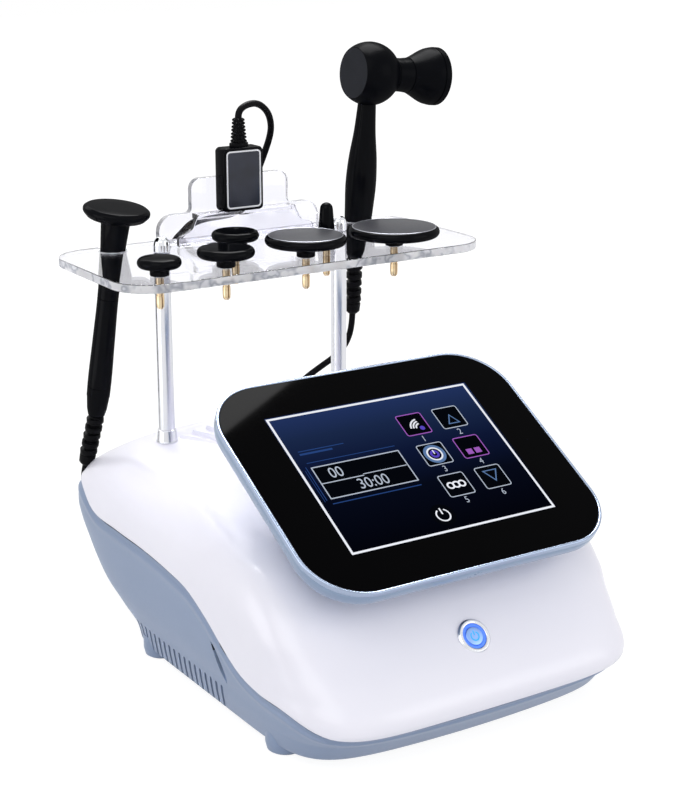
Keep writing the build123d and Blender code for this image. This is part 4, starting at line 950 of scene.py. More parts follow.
# %% Thumb-nail dents
DENT_TOP, DENT_LOW = Vector((134.4, -27.0, 56.5)), Vector((130.9, -41.8, 30.0))
DENT_FORWARDS = Vector((0, -0.877, 0.481))
DENT_STEPS = (  # share of the way down, depth, width of its floor, width with its slope
    (0.0, 0.3, 0.1, 0.4), (0.06, 3.2, 0.9, 1.8), (0.2, 6.5, 1.9, 3.4), (0.38, 5.5, 2.0, 4.6),
    (0.55, 3.4, 1.5, 5.2), (0.72, 1.7, 1.0, 5.0), (0.88, 0.7, 0.6, 4.0), (1.0, 0.2, 0.2, 2.4))
for side in (-1, 1):
    mirror = Vector((side, 1, 1))
    down = (DENT_LOW - DENT_TOP) * mirror
    carve(lower_shell, loft(f"dent_{side}", [
        ([(0, 3), (0, side * depth), (floor_width, side * depth), (width, -side * 0.2),
          (width + 1, -side * 3)], share * down.length)
        for share, depth, floor_width, width in DENT_STEPS],
        axis_frame(DENT_TOP * mirror, down, DENT_FORWARDS)))

# %% Niche
NICHE_MIDDLE, NICHE_WIDTH, NICHE_HEIGHT, NICHE_END, LINING = (0, 59), 120, 42, 165, 2.5


def niche_block(name, width, height, radius, rear, front):
    """A box with rounded long edges at the niche, between two Y values."""
    loop = box_loop(width, height, radius, NICHE_MIDDLE)
    return loft(name, [(loop, -rear), (loop, -front)], STANDING)


carve(lower_shell, niche_block("niche_box", NICHE_WIDTH, NICHE_HEIGHT, 2, 300, NICHE_END))

# %% The base's finish, with painted shade where little light gets in
settle(lower_shell, blue, "machine", "blue_grey_base", "lower_shell")
polish(lower_shell, 40, False)
lower_shell.data.materials.append(painted_shade_blue.material)
centres = np.array([face.center for face in lower_shell.data.polygons]) / MM
below_seam = centres[:, 2] - seam_height(centres[:, 1])
VENTS_REACH, VENTS_TOP, WALL_SLACK = 74, 28, 2.3
# Faces on the slots' walls, in the dents and on the ledge under the seam take the painted shade.
for face, (x, y, z), drop in zip(lower_shell.data.polygons, centres, below_seam):
    wall_x = np.interp(z, SECTIONS[:, 0], SECTIONS[:, 3]) - WALL_SLACK
    in_slot = (abs(x) > 100 and abs(y - VENT_MIDDLE[1]) < VENTS_REACH and z < VENTS_TOP
               and abs(face.normal.y) > 0.7)
    in_dent = 120 < abs(x) < wall_x and -44 < y < -25 and 41 < z < 57
    in_gap = -2.8 < drop < -2.2 and face.normal.z > 0.5
    if in_slot or in_dent or in_gap:
        face.material_index = 1

# %% [markdown]
# ## The niche's lining
# The niche would open into the empty base. A block is trimmed to the inside of the body and
# hollowed out, which leaves a lining 2.5 mm thick with a window for the rear panel.

# %% The niche's lining
liner = niche_block("niche_lining", NICHE_WIDTH + 2 * LINING, NICHE_HEIGHT + 2 * LINING, 3,
                    260, NICHE_END - LINING)
body_rings = [body_points(sweep_at_height(FLOOR_Z + 1), BASE_INSET + 0.2)]
body_rings += [body_points(np.full(COLUMNS, SWEEP[-1] * s), BASE_INSET + 0.2)
               for s in np.linspace(0.03, 0.9, 60)]
trim_form = ring_skin("trim_form", drawn_to_middle(body_rings[0], (0.5,))[::-1] + body_rings
                      + drawn_to_middle(body_rings[-1], (0.5,)), 40)
carve(liner, trim_form, "INTERSECT")
carve(liner, niche_block("niche_room", NICHE_WIDTH, NICHE_HEIGHT, 2, 300, NICHE_END))
carve(liner, niche_block("niche_window", 108, 30, 2, 170, 150))
settle(liner, blue, "machine", "blue_grey_base")

# %% [markdown]
# ## The feet
# Four turned plastic cups carry the machine, each with a bore for its screw. One cup is
# turned for each pair, and the row tree sets it at both sides.

# %% Feet
FOOT_X, FOOT_Y, FOOT_LOW, FOOT_TOP, FOOT_BORE = 113, 86, 3.05, 16, 2.1
foot_side = [(11.9, 0.8, 0), (12.3, 0.8, 0.3), (13.4, 5.5, 4), (13.4, 15.9, 0)]
foot_loop = [(FOOT_BORE, FOOT_LOW), (11.9, FOOT_LOW), *rounded(foot_side, steps=6),
             (13.4, FOOT_TOP), (FOOT_BORE, FOOT_TOP)]
for name, y in (("front_feet", -FOOT_Y), ("rear_feet", FOOT_Y)):
    foot = lathe("foot_template", foot_loop, closed=True, segments=64)
    feet = row_of(name, foot, blue, 2, start=(-FOOT_X, y, 0), step=(2 * FOOT_X, 0, 0))
    settle(feet, blue, "machine", "blue_grey_base")

# %% [markdown]
# ## The touch screen's case
# The case is a soft pillow behind the glass: its outline is the glass's, drawn in step by
# step towards the back. A rim of pale blue metal runs round the glass.

# %% Screen case and rim
SCREEN_TILT = radians(30)
SCREEN_MIDDLE = Vector((0, -62, 164))
SCREEN_UP = Vector((0, cos(SCREEN_TILT), sin(SCREEN_TILT)))
SCREEN_OUT = Vector((0, -sin(SCREEN_TILT), cos(SCREEN_TILT)))
screen_base = axis_frame(SCREEN_MIDDLE, SCREEN_OUT)
GLASS_WIDTH, GLASS_HEIGHT, GLASS_CORNER = 230, 180, 38


def glass_outline(grow):
    return box_loop(GLASS_WIDTH + 2 * grow, GLASS_HEIGHT + 2 * grow, GLASS_CORNER + grow,
                    steps=16)


case_profile = [  # growth of the outline, height over the glass
    (-10, -3.0), (1.9, -3.0), (2.1, -3.3), (2.1, -5.5), (1.7, -8), (0.8, -10.5), (-0.7, -13),
    (-3, -15.6), (-6.2, -18.2), (-10.2, -20.6), (-15, -22.5), (-20, -23.7), (-25, -24.0)]
rim_profile = [(0.1, -3.0), (0.1, 0.0), (0.45, 0.3), (1.5, 0.3), (2.0, -0.1), (2.1, -0.8),
               (2.1, -2.9)]
case = loft("screen_case", [(glass_outline(grow), up) for grow, up in case_profile],
            screen_base, 40)
settle(case, housing_blue, "machine", "silver_blue_housing", "tablet_housing")
rim = loft("screen_rim", [(glass_outline(grow), up) for grow, up in rim_profile],
           screen_base, 60, poles=False)
rim_metal = coated("pale_blue_metal", ["#9FACC3"], (0.16, 0.1, 3, 2), Metallic=1.0)
settle(rim, rim_metal, "machine", "rim_metal", "tablet_rim")

# %% [markdown]
# ## What the screen shows
# A real display glows behind black glass. Here each part of the picture is a flat shape a
# hair above the glass, with an emission of its own: a navy field, a white frame, a readout
# with plain digits, and six picture buttons with plain symbols and numbers. The words and
# the name on the real screen are left off.

# %% Glowing finishes
UNLIT = {"Base_Color": (0, 0, 0, 1), "Roughness": 0.3, "Specular_IOR_Level": 0.0}
DIM_SHARE = 0.86


def glow(name, colour, strength=1.0):
    """A flat light of one colour, with a faint change over the panel."""
    finish = Finish(name, Emission_Strength=strength, **UNLIT)
    dim = tuple(c * DIM_SHARE for c in colour[:3]) + (1.0,)
    finish.set("Emission Color", finish.mix(finish.noise(25, 1), colour, dim))
    return finish


FIELD_HEIGHT = 0.12
field = Finish("display_field", Emission_Strength=1.0, **UNLIT)
height_up = field.node("ShaderNodeVectorMath", {"operation": "DOT_PRODUCT"}, {
    0: field.node("ShaderNodeTexCoord", out="Object"), 1: tuple(SCREEN_UP)}, out="Value")
share_up = (height_up - SCREEN_MIDDLE.dot(SCREEN_UP) * MM) * (1 / FIELD_HEIGHT) + 0.5
field.set("Emission Color", field.node("ShaderNodeValToRGB", {"stops": [
    (0.0, tint("#03040B")), (0.35, tint("#060A18")), (0.6, tint("#0D1633")),
    (0.82, tint("#192747")), (0.97, tint("#20305A"))]}, {"Fac": share_up}))
GLOW = {name: glow(f"glow_{name}", tint(code)) for name, code in (
    ("white", "#F4F7FF"), ("silver", "#B9C3D2"), ("steel", "#5E7DAA"), ("navy", "#27457F"),
    ("purple", "#A35FC0"), ("violet", "#5B49C4"), ("dark", "#05070D"))}


# %% [markdown]
# ## Drawing on the glass
# The picture is made of plain flat shapes: filled loops, bands between two loops, frames,
# bars, rings and figures. A class collects those of one colour on one plane and makes them
# one piece, because each piece costs a draw and a material. An image would be simpler, but it
# would have to come from somewhere, and these stay sharp at any size.

# %% Flat shapes on the glass
FIGURE_WIDTH = 0.86


class FlatShapes:
    """Collects flat shapes on one plane, then makes them one piece."""

    def __init__(self, name, base, lift):
        self.name, self.base, self.lift = name, base, lift
        self.points, self.faces = [], []

    def shape(self, loop):
        start = len(self.points)
        self.points += [(x, y, self.lift) for x, y in loop]
        self.faces.append(tuple(range(start, start + len(loop))))

    def band(self, outer, inner, closed=True):
        start, count = len(self.points), len(outer)
        self.points += [(x, y, self.lift) for x, y in (*outer, *inner)]
        for i in range(count if closed else count - 1):
            j = (i + 1) % count
            self.faces.append((start + i, start + j, start + count + j, start + count + i))

    def frame(self, width, height, radius, line, centre):
        self.band(box_loop(width, height, radius, centre, 4),
                  box_loop(width - 2 * line, height - 2 * line, max(radius - line, 0.1), centre,
                           4))

    def bar(self, x0, y0, x1, y1, line):
        way = Vector((x1 - x0, y1 - y0)).normalized()
        side = Vector((-way.y, way.x)) * line / 2
        self.shape([(x0 - side.x, y0 - side.y), (x1 - side.x, y1 - side.y),
                    (x1 + side.x, y1 + side.y), (x0 + side.x, y0 + side.y)])

    def ring(self, centre, radius, line, start=0, end=360):
        outer, inner = (arc(centre, radius + side * line / 2, start, end, 40) for side in (1, -1))
        self.band(outer, inner, closed=False)

    def digits(self, text, size, centre):
        """Plain figures from the built-in font, turned to flat faces."""
        words = bpy.data.curves.new("figures", "FONT")
        words.body, words.size, words.align_x, words.align_y = text, size, "CENTER", "CENTER"
        holder = bpy.data.objects.new("figures", words)
        bpy.context.scene.collection.objects.link(holder)
        ready = holder.evaluated_get(bpy.context.evaluated_depsgraph_get())
        flat = bpy.data.meshes.new_from_object(ready)
        start = len(self.points)
        self.points += [(v.co.x * FIGURE_WIDTH + centre[0], v.co.y + centre[1], self.lift)
                        for v in flat.vertices]
        self.faces += [tuple(start + i for i in face.vertices) for face in flat.polygons]
        bpy.data.objects.remove(holder)

    def make(self, finish, body="machine", slot="display"):
        piece = new_piece(self.name, self.points, self.faces, self.base, recalculate=False)
        for face in piece.data.polygons:
            face.use_smooth = False
        return settle(piece, finish, body, slot)


# %% [markdown]
# ## The picture
# Places are in millimetres from the middle of the screen. Each layer lies two hundredths of a
# millimetre over the last, so that no two shapes fight for the same place.

# %% Backing, dark panels and the white frame
def picture(name, lift):
    return FlatShapes(name, screen_base, lift)


ICON_X, ICON_Y, ICON_SIZE = (21.0, 51.0), (32.5, 4.0, -24.5), 19.6
READOUT, ON_OFF = (-37.2, -0.6), (-3, -46)
PANELS, LINES, SYMBOLS, BRIGHT = 0.05, 0.07, 0.09, 0.11  # how high each layer lies
backing = picture("display_backing", 0.03)
backing.shape(box_loop(163, 122, 0.4))
backing.make(field)
shade = picture("display_dark_panels", PANELS)
shade.shape(box_loop(67, 27, 0.6, READOUT))
for x in ICON_X:
    for y in ICON_Y:
        shade.shape(box_loop(ICON_SIZE, ICON_SIZE - 0.8, 1.5, (x, y)))
shade.shape(arc(ON_OFF, 9, 0, 359, 40))
shade.make(GLOW["dark"])

lines = picture("display_frame_lines", LINES)
lines.frame(161, 120.4, 0.3, 1.7, (-0.4, 0))
lines.make(GLOW["white"])

# %% Readout, button frames and figures
BUTTON_FRAME, READOUT_SIZE, NUMBER_SIZE = (20.8, 19.6, 2), 12.4, 7.4
chrome_lines = picture("readout_lines", LINES)
chrome_lines.frame(68.4, 28.4, 0.5, 0.9, READOUT)
chrome_lines.bar(-70.8, -1.2, -38.5, -1.2, 0.8)
chrome_lines.bar(-38.5, -0.1, -4.4, -0.1, 0.7)
for x, y in ((0, 1), (0, 2), (1, 0), (1, 2)):
    chrome_lines.frame(*BUTTON_FRAME, 0.75, (ICON_X[x], ICON_Y[y]))
chrome_lines.digits("00", READOUT_SIZE, (-56.2, 5.6))
chrome_lines.digits("30:00", READOUT_SIZE, (-34.8, -7.9))
for number, (x, y) in enumerate([(x, y) for y in ICON_Y for x in ICON_X], 1):
    chrome_lines.digits(str(number), NUMBER_SIZE, (x, y - 14.0))
chrome_lines.make(GLOW["silver"])

halo_lines = picture("readout_double_line", LINES)
for bar in ((-72, 17.6, -3.5, 17.6, 0.6), (-74.5, 14.6, -74.5, -15, 0.6),
            (-72, -18.6, -3.5, -18.6, 0.8), (-76.2, 12, -76.2, -16, 0.4),
            (-73, 28.2, -38, 28.2, 0.7), (-73, 25.6, -48, 25.6, 1.6)):
    halo_lines.bar(*bar)
halo_lines.make(GLOW["navy"])

# %% Symbols on the buttons
left_x, right_x = ICON_X
top_y, middle_y, low_y = ICON_Y
wave_foot = (left_x + 4.5, top_y - 4.5)
symbols = picture("steel_symbols", SYMBOLS)
for y, outer, inner in (
        (top_y - 2, (5, -4, 5), (3.6, -3.2, 3.4)),
        (low_y + 1.4, (6, 4.6, -6), (4.5, 3.8, -4.2))):
    symbols.band(*([(right_x + 0.6 - half, y + foot), (right_x + 0.6 + half, y + foot),
                    (right_x + 0.6, y + tip)] for half, foot, tip in (outer, inner)))
symbols.ring((left_x, middle_y), 7.0, 2.4)
symbols.make(GLOW["steel"])

bright = picture("bright_symbols", BRIGHT)
bright.ring((left_x, middle_y), 5.4, 1.2)
bright.bar(left_x, middle_y, left_x, middle_y + 3.6, 0.9)
bright.ring((ON_OFF[0], -46.2), 4.9, 1.1, 118, 422)
bright.bar(ON_OFF[0], -45.4, ON_OFF[0], -40.2, 1.2)
for k, radius in enumerate((8.4, 6.4, 4.4)):
    bright.ring(wave_foot, radius, 1.2, 98, 172)
    bright.ring((left_x - 4.5 + 4.5 * k, low_y), 2.4, 1.3)
bright.make(GLOW["white"])

purple = picture("purple_symbols", SYMBOLS)
for place in ((left_x, top_y), (right_x, middle_y)):
    purple.frame(*BUTTON_FRAME, 0.8, place)
for x in (right_x - 3.3, right_x + 3.3):
    purple.bar(x, middle_y - 6.4, x, middle_y - 1.6, 4.8)
purple.make(GLOW["purple"])
violet = picture("violet_symbols", 0.1)
violet.ring((left_x, middle_y), 2.6, 1.8)
violet.shape(arc(wave_foot, 1.9, 0, 350, 24))
violet.make(GLOW["violet"])

# %% [markdown]
# ## The power button
# A chrome bezel, a ring that glows blue, and a brushed cap that travels 1.6 mm; the cap's
# blue colour is painted light from the ring. The cap's symbol rides with it.

# %% Bezel, ring of light, cap
bezel = lathe("button_bezel_turned", [
    *rounded([(8.5, -12, 0), (8.5, 1.5, 0.5), (9.4, 1.8, 0.2), (10.6, 1.8, 0.5),
              (11.9, 0.7, 0.6), (11.9, -2.5, 0)]),
    (9.6, -2.5), (9.6, -12)], button_base, closed=True)
satin_chrome = coated("satin_chrome", ["#DCDEE3"], (0.14, 0.1, 1.5, 2), Metallic=1.0)
settle(bezel, satin_chrome, "machine", "rim_metal", "button_bezel")
ring_glow = Finish("blue_light_ring", Base_Color=tint("#3A62C8"), Roughness=0.25,
                   Emission_Strength=0.85)
ring_glow.set("Emission Color", ring_glow.mix(
    ring_glow.noise(4, 1), tint("#5A8CEB"), tint("#3964D2")))
light_ring = lathe("button_ring_of_light", rounded([
    (6.55, -2.8, 0), (6.55, 1.0, 0.4), (8.35, 1.0, 0.4), (8.35, -2.8, 0)]), button_base,
    closed=True)
settle(light_ring, ring_glow, "machine", "ring_blue", "button_light_ring")

# The cap's blue colour is painted blue light from the glowing ring.
brushed = coated("cap_painted_blue_light", ["#8FB2EC"], (0.26, 0.14, 0.8, 2, (0.1, 1, 1)), Metallic=1.0)
cap = lathe("power_cap", [(0, -1.85), *rounded([
    (6.0, -1.85, 0), (6.35, -1.5, 0.2), (6.35, 1.3, 0.7), (4, 1.5, 6), (0, 1.5, 0)])],
    button_base)
settle(cap, brushed, "power_button", "cap_silver", "button_cap")
mark = FlatShapes("power_symbol", button_base, 1.56)
mark.ring((0, -0.2), 2.9, 0.75, 122, 418)
mark.bar(0, 0.4, 0, 3.6, 0.8)
mark.make(glow("glow_cyan", tint("#2FB4FF"), 1.2), "power_button", "cap_silver")

# %% [markdown]
# ## Posts, collars and caps
# The posts are polished bar. Each stands in a tapered collar with a small foot, and an acorn
# cap on the tray holds the sheet down.

# %% Turned metal of the stand
POST_X, POST_Y, POST_R, TRAY_LOW, TRAY_TOP = 75, 144, 6, 273, 279
for side, name in ((-1, "left"), (1, "right")):
    here = Matrix.Translation((side * POST_X, POST_Y, 0))
    bar = lathe(f"{name}_post_bar", [
        (0, TOP_Z), (POST_R - 0.3, TOP_Z), (POST_R, TOP_Z + 0.3), (POST_R, TRAY_LOW - 0.3),
        (POST_R - 0.3, TRAY_LOW), (0, TRAY_LOW)], here, 64)
    settle(bar, aluminium, "machine", "post_alloy", f"post_{name}")
collar_profile = rounded([
    (6.1, TOP_Z, 0), (8.0, TOP_Z, 0.3), (8.0, TOP_Z + 1.2, 0.3), (7.6, TOP_Z + 1.5, 0.3),
    (6.9, TOP_Z + 9.6, 0.5), (6.1, TOP_Z + 10, 0)], steps=3)
cap_profile = [(0, TRAY_TOP), *rounded([
    (5.6, TRAY_TOP, 0), (6.1, TRAY_TOP + 0.5, 0.3), (6.1, TRAY_TOP + 5.2, 1.4),
    (5.4, TRAY_TOP + 8.4, 3), (3.2, TRAY_TOP + 10.8, 3), (0, TRAY_TOP + 11, 0)], steps=6)]
for label, profile, node, closed, finish in (
        ("collar", collar_profile, "post_collars", True, aluminium),
        ("acorn_cap", cap_profile, "post_caps", False, chrome)):
    template = lathe(f"{label}_template", profile, segments=64, closed=closed)
    pair = row_of(f"post_{label}_pair", template, aluminium, 2, start=(-POST_X, POST_Y, 0),
                  step=(2 * POST_X, 0, 0))
    settle(pair, finish, "machine", "post_alloy", node)

# %% [markdown]
# ## The clear tray and rest
# Each is flat sheet, so its outline is drawn with its holes and cut out, and the edges are
# eased by 0.4 mm, where acrylic catches the light. The two keyhole slots open to the rear.

# %% Tray
HEADS = {"small": (-112.4, 74), "medium": (-61.5, 74), "large": (2.7, 74), "wide": (78, 74),
         "dish": (-31.5, 114), "bullet": (37.6, 102)}
TRAY_FRONT, TRAY_REAR, TRAY_HALF = 47.5, 183.5, 147
TRAY_CORNER, SLOT_HALF, LEFT_EYE, HAMMER_EYE = 29, 4.5, 9.9, 11.4
PIN_HOLE, STUD_HOLE = 3.1, 2.6


def keyhole(x, y, radius):
    """Rear edge points, from right to left, that dip into a keyhole."""
    spread = degrees(np.arcsin(SLOT_HALF / radius))
    return [(x + SLOT_HALF, TRAY_REAR), *arc((x, y), radius, 90 - spread, -270 + spread, 40),
            (x - SLOT_HALF, TRAY_REAR)]


tray_outline = [
    *rounded([(x, y, TRAY_CORNER) for x, y in (
        (-TRAY_HALF, TRAY_REAR), (-TRAY_HALF, TRAY_FRONT), (TRAY_HALF, TRAY_FRONT),
        (TRAY_HALF, TRAY_REAR))], True, 14),
    *keyhole(*HAMMER_HOLE[:2], HAMMER_EYE), *keyhole(*LEFT_HOLE[:2], LEFT_EYE)]
holes = [arc(place, PIN_HOLE, 0, 348.75, 31) for place in HEADS.values()]
holes += [arc((side * POST_X, POST_Y), STUD_HOLE, 0, 345, 23) for side in (-1, 1)]
tray = sheet_cut("clear_tray", [tray_outline, *holes], TRAY_TOP - TRAY_LOW, 0.45,
                 Matrix.Translation((0, 0, TRAY_LOW)))
settle(tray, acrylic, "machine", "acrylic", "tray")
pale_edges(tray, (0, 0, 1))

# %% [markdown]
# ## The clear rest for the plug
# A back plate with raised shoulders stands on the tray, and in front of it a step bent from
# one strip gives the plug its shelf. Front and shelf are cut as two sheets and joined.

# %% Rest: back plate and bent front step
PLATE_FRONT, PLATE_THICK, STEP_FRONT, STEP_THICK = 161, 5.5, 151, 4
plate_loop = rounded([
    (-68, TRAY_TOP, 0.5), (68, TRAY_TOP, 0.5), (68, 301, 12), (41, 301, 4), (41, 325.7, 8),
    (-41, 325.7, 8), (-41, 301, 4), (-68, 301, 12)], True, 8)
back_plate = sheet_cut("rest_back_sheet", [plate_loop], PLATE_THICK, 0.4,
                       Matrix.Translation((0, PLATE_FRONT + PLATE_THICK, 0)) @ STANDING)
settle(back_plate, acrylic, "machine", "acrylic", "rest_back_plate")
pale_edges(back_plate, (0, 1, 0))
step_loop = rounded([
    (-57, TRAY_TOP, 0.5), (57, TRAY_TOP, 0.5), (57, 286, 4), (46, 290, 7), (41, 300.9, 1.5),
    (-41, 300.9, 1.5), (-46, 290, 7), (-57, 286, 4)], True, 6)
step_front = sheet_cut("rest_step_front", [step_loop], STEP_THICK, 0.4,
                       Matrix.Translation((0, STEP_FRONT + STEP_THICK, 0)) @ STANDING)
shelf = sheet_cut("rest_step_shelf", [box_loop(82, 9.8, 0.4, steps=3)], STEP_THICK - 0.1, 0.4,
                  Matrix.Translation((0, STEP_FRONT + 5, 297.05)))
carve(step_front, shelf, "UNION")
polish(step_front, 50)
even_shading(step_front)
settle(step_front, acrylic, "machine", "acrylic", "rest_step")

# %% [markdown]
# ## The six treatment heads
# Each head is gloss black, turned, and stands on a brass pin with sprung slots. The two
# largest discs have a lapped satin face inside a thin bright edge, which is a painted
# highlight. Face and edge are turned skins of their own, because they have their own
# finishes. The bullet and the dish have their own outlines.

# %% Outlines of the heads
HEAD_LOW, PIN_LOW, DISH_TOP = TRAY_TOP + 0.1, 256, 295
FLAT_HEADS = {  # radius, dome, radius of the lapped face, top
    "small": (15, 0.9, 0, 291.6), "medium": (20, 0.5, 0, 293), "large": (29, 0, 26.0, 294.6),
    "wide": (33, 0, 30.0, 293)}
NECK = [(6.2, HEAD_LOW, 0), (6.6, HEAD_LOW + 0.5, 0.3), (6.6, HEAD_LOW + 3.4, 1.0)]
RIM_R = 3.6


def head_outline(radius, dome, top):
    """Half section of a flat head: a short neck, a full round rim and a slightly domed top."""
    rim = arc((radius - RIM_R, top - RIM_R - 0.1), RIM_R, -90, 78, 16)
    crown = [((radius - 2.85) * (1 - k / 6), top - 0.18 + dome * (1 - (1 - k / 6) ** 2))
             for k in range(1, 7)]
    return [(0, HEAD_LOW), *rounded([*NECK, (9.6, top - 7.3, 0)], steps=4), *rim, *crown]


DISH_DEEP = 4.5
DISH = [(0, HEAD_LOW), *rounded([*NECK, (9.6, DISH_TOP - 8.2, 0)], steps=4),
        *arc((13.4, DISH_TOP - 3.8), RIM_R, -80, 84, 14),
        *[(14.3 * (1 - k / 10), DISH_TOP - 0.3 - (DISH_DEEP - 0.3) * (1 - (1 - k / 10) ** 2))
          for k in range(11)]]
BULLET = [(0, HEAD_LOW), *rounded([
    (6.2, HEAD_LOW, 0.5), (7, HEAD_LOW + 0.8, 0.6), (6.6, HEAD_LOW + 4, 2), (4.8, 304.6, 3)],
    steps=5), *arc((0, 305.3), 4.7, 4, 90, 10)]
head_shapes = {"dish": (DISH, 0, DISH_TOP), "bullet": (BULLET, 0, 310)}
for name, (radius, dome, face_r, top) in FLAT_HEADS.items():
    head_shapes[name] = (head_outline(radius, dome, top), face_r, top)
print("head outlines", list(head_shapes))

# %% Outline of a brass pin
PIN_R, PIN_WAIST = 2.8, 2.45
pin_outline = [(0, PIN_LOW), *rounded([
    (1.5, PIN_LOW, 0.4), (2.6, PIN_LOW + 1.4, 0.7), (PIN_R, PIN_LOW + 4, 0.5),
    (PIN_R, PIN_LOW + 9.4, 0.1), (PIN_WAIST, PIN_LOW + 9.6, 0.1),
    (PIN_WAIST, PIN_LOW + 10.3, 0.1), (PIN_R, PIN_LOW + 10.5, 0.1),
    (PIN_R, HEAD_LOW - 0.2, 0.1)], steps=3), (PIN_R, HEAD_LOW), (0, HEAD_LOW)]

# %% The six heads in place
for name, (x, y) in HEADS.items():
    here = Matrix.Translation((x, y, 0))
    outline, face_r, top = head_shapes[name]
    shape = lathe(f"{name}_head_turned", outline, here, 112)
    settle(shape, black, f"{name}_head_body", "head_black", f"{name}_head")
    if face_r:
        face = lathe(f"{name}_head_face", [
            (0, top - 0.6), (face_r, top - 0.6), (face_r, top - 0.1), (face_r - 0.3, top - 0.02),
            (0, top)], here, 112)
        settle(face, satin, f"{name}_head_body", "head_black")
        # The bright ring round the face is a painted highlight.
        edge_ring = lathe(f"{name}_head_edge", [
            (face_r, top - 0.6), (face_r + 0.5, top - 0.5), (face_r + 0.5, top - 0.02),
            (face_r + 0.25, top + 0.1), (face_r, top)], here, 112, closed=True)
        settle(edge_ring, face_edge, f"{name}_head_body", "head_black")
    pin = lathe(f"{name}_brass_pin", pin_outline, here, 48, flutes=4, flute_depth=1.5,
                sharp_above=45)
    settle(pin, brass, f"{name}_head_body", "pin_brass", f"{name}_pin")

# %% [markdown]
# ## The left handle
# A mushroom: a disc on a waisted grip that leans a little. The grip's radius was measured at
# seven places along its axis; two thin grooves mark where its collars screw on.

# %% Grip outlines and grooves
LEFT_BASE, HAMMER_BASE = axis_frame(LEFT_HOLE, LEFT_LEAN), axis_frame(HAMMER_HOLE, HAMMER_LEAN)


def swell(measured, steps=40):
    """Smooth (radius, height) points through measured (height, radius) pairs, lowest first."""
    pairs = sorted(measured)
    heights = [h for h, _ in pairs]
    where = np.linspace(heights[0], heights[-1], steps)
    radii = smooth_through([[r] for _, r in pairs], heights, where)[:, 0]
    return list(zip(radii, where))


GROOVE_DEPTH, GROOVE_HALF = 0.45, 0.5


def grooved(points, places):
    """Adds thin grooves to a turned outline that rises with height."""
    out = []
    for (r0, h0), (r1, h1) in zip(points, points[1:]):
        out.append((r0, h0))
        for place in places:
            if h0 <= place < h1:
                r = r0 + (r1 - r0) * (place - h0) / (h1 - h0)
                floor_r, floor_half = r - GROOVE_DEPTH, GROOVE_HALF * 0.7
                out += [(r, place - GROOVE_HALF), (floor_r, place - floor_half),
                        (floor_r, place + floor_half), (r, place + GROOVE_HALF)]
    return [*out, points[-1]]


# %% The left handle's grip and disc
left_low = [(0, -LEFT_GRIP_LOW), *rounded([
    (5.4, -LEFT_GRIP_LOW, 0.3), (6.2, -127.2, 0.5), (7.4, -122, 2), (8.3, -113, 0)], steps=4)]
left_swell = swell([(-112, 8.55), (-104, 8.7), (-70, 8.2), (-36, 7.7), (0, 8.95), (10, 9.7),
                    (21.6, 10.5)])
grip = lathe("left_grip_moulding", [*left_low, *grooved(left_swell, (-104.5, -36)), (0, 21.6)],
             LEFT_BASE)
settle(grip, black, "left_handle", "grip_black", "handle_grip")
mushroom = lathe("left_handle_disc", [(0, 21.7), *rounded([
    (10.9, 21.7, 0.5), (11.6, 23.4, 1.2), (20.2, 23.4, 3.4), (24, 27.6, 2.6), (24, 30.2, 1.7),
    (21.6, 32, 1.6), (12, 32.3, 9), (0, 32.3, 0)], steps=7)], LEFT_BASE, 112)
settle(mushroom, black, "left_handle", "head_black", "handle_disc")

# %% [markdown]
# ## The hammer-shaped handle
# A ball with one flat facet, a waist and a flared bell, on a grip that runs up into the
# ball. The bell's axis points to the right and dips a little.

# %% Outline of ball, waist and bell
BALL_MIDDLE = along(HAMMER_HOLE, HAMMER_LEAN, 114)
BELL_WAY = Vector((1, 0, -0.09)).normalized()
BALL_R, FACET_AT, WAIST_R = 24, 14.3, 12.7
facet_r = (BALL_R**2 - FACET_AT**2) ** 0.5
facet_turn = degrees(atan2(facet_r, -FACET_AT))
waist_turn = degrees(atan2(WAIST_R, (BALL_R**2 - WAIST_R**2) ** 0.5))
ball_points = [(r, h) for h, r in arc((0, 0), BALL_R, facet_turn, waist_turn + 0.8, 34)]
bell_swell = swell([(35.2, 13.6), (38, 14.7), (43, 17.1), (48, 19.6), (52, 21.2),
                    (56.3, 22.1)], 22)
head_profile = [
    (0, -FACET_AT), *ball_points,
    *rounded([(12.3, 20.6, 0.2), (12.3, 21.3, 0.2), (WAIST_R, 21.6, 0.2), (WAIST_R, 28, 9),
              (13.3, 33.6, 0.2), (12.8, 33.9, 0.1), (12.8, 34.5, 0.1), (13.5, 34.8, 0.2)],
             steps=3),
    *bell_swell,
    *rounded([(21.5, 56.7, 0.1), (21.5, 57.3, 0.1), (22.3, 57.5, 0.2), (22.3, 62.1, 0.5),
              (21.4, 62.5, 0.3), (18, 62.5, 0.4), (17.2, 61.6, 0.4), (0, 61.4, 0)], steps=4)]

# %% Hammer head, facet and grip in place
bell_base = axis_frame(BALL_MIDDLE, BELL_WAY, (0, 0, 1))
hammer_head = lathe("hammer_head_turned", head_profile, bell_base, 128)
settle(hammer_head, half_gloss, "hammer_handle", "head_black", "hammer_head")
facet = lathe("hammer_facet", [
    (0, -FACET_AT + 0.4), (facet_r - 0.5, -FACET_AT + 0.4), (facet_r - 0.5, -FACET_AT - 0.04),
    (0, -FACET_AT - 0.04)], bell_base, 128)
settle(facet, facet_satin, "hammer_handle", "head_black")
hammer_low = [(0, -HAMMER_GRIP_LOW), *rounded([
    (5.4, -HAMMER_GRIP_LOW, 0.3), (6.4, -33, 0.6), (7.4, -29, 2), (8.2, -20.4, 0.4)], steps=4)]
hammer_swell = swell([(-19.6, 8.3), (-18, 8.6), (0, 10.5), (10, 11.1), (28, 11.9), (48, 11.0),
                      (70, 8.4), (92, 6.9)])
hammer_grip = lathe("hammer_grip_moulding", [
    *hammer_low, *grooved(hammer_swell, (-17.0,)), (0, 92)], HAMMER_BASE)
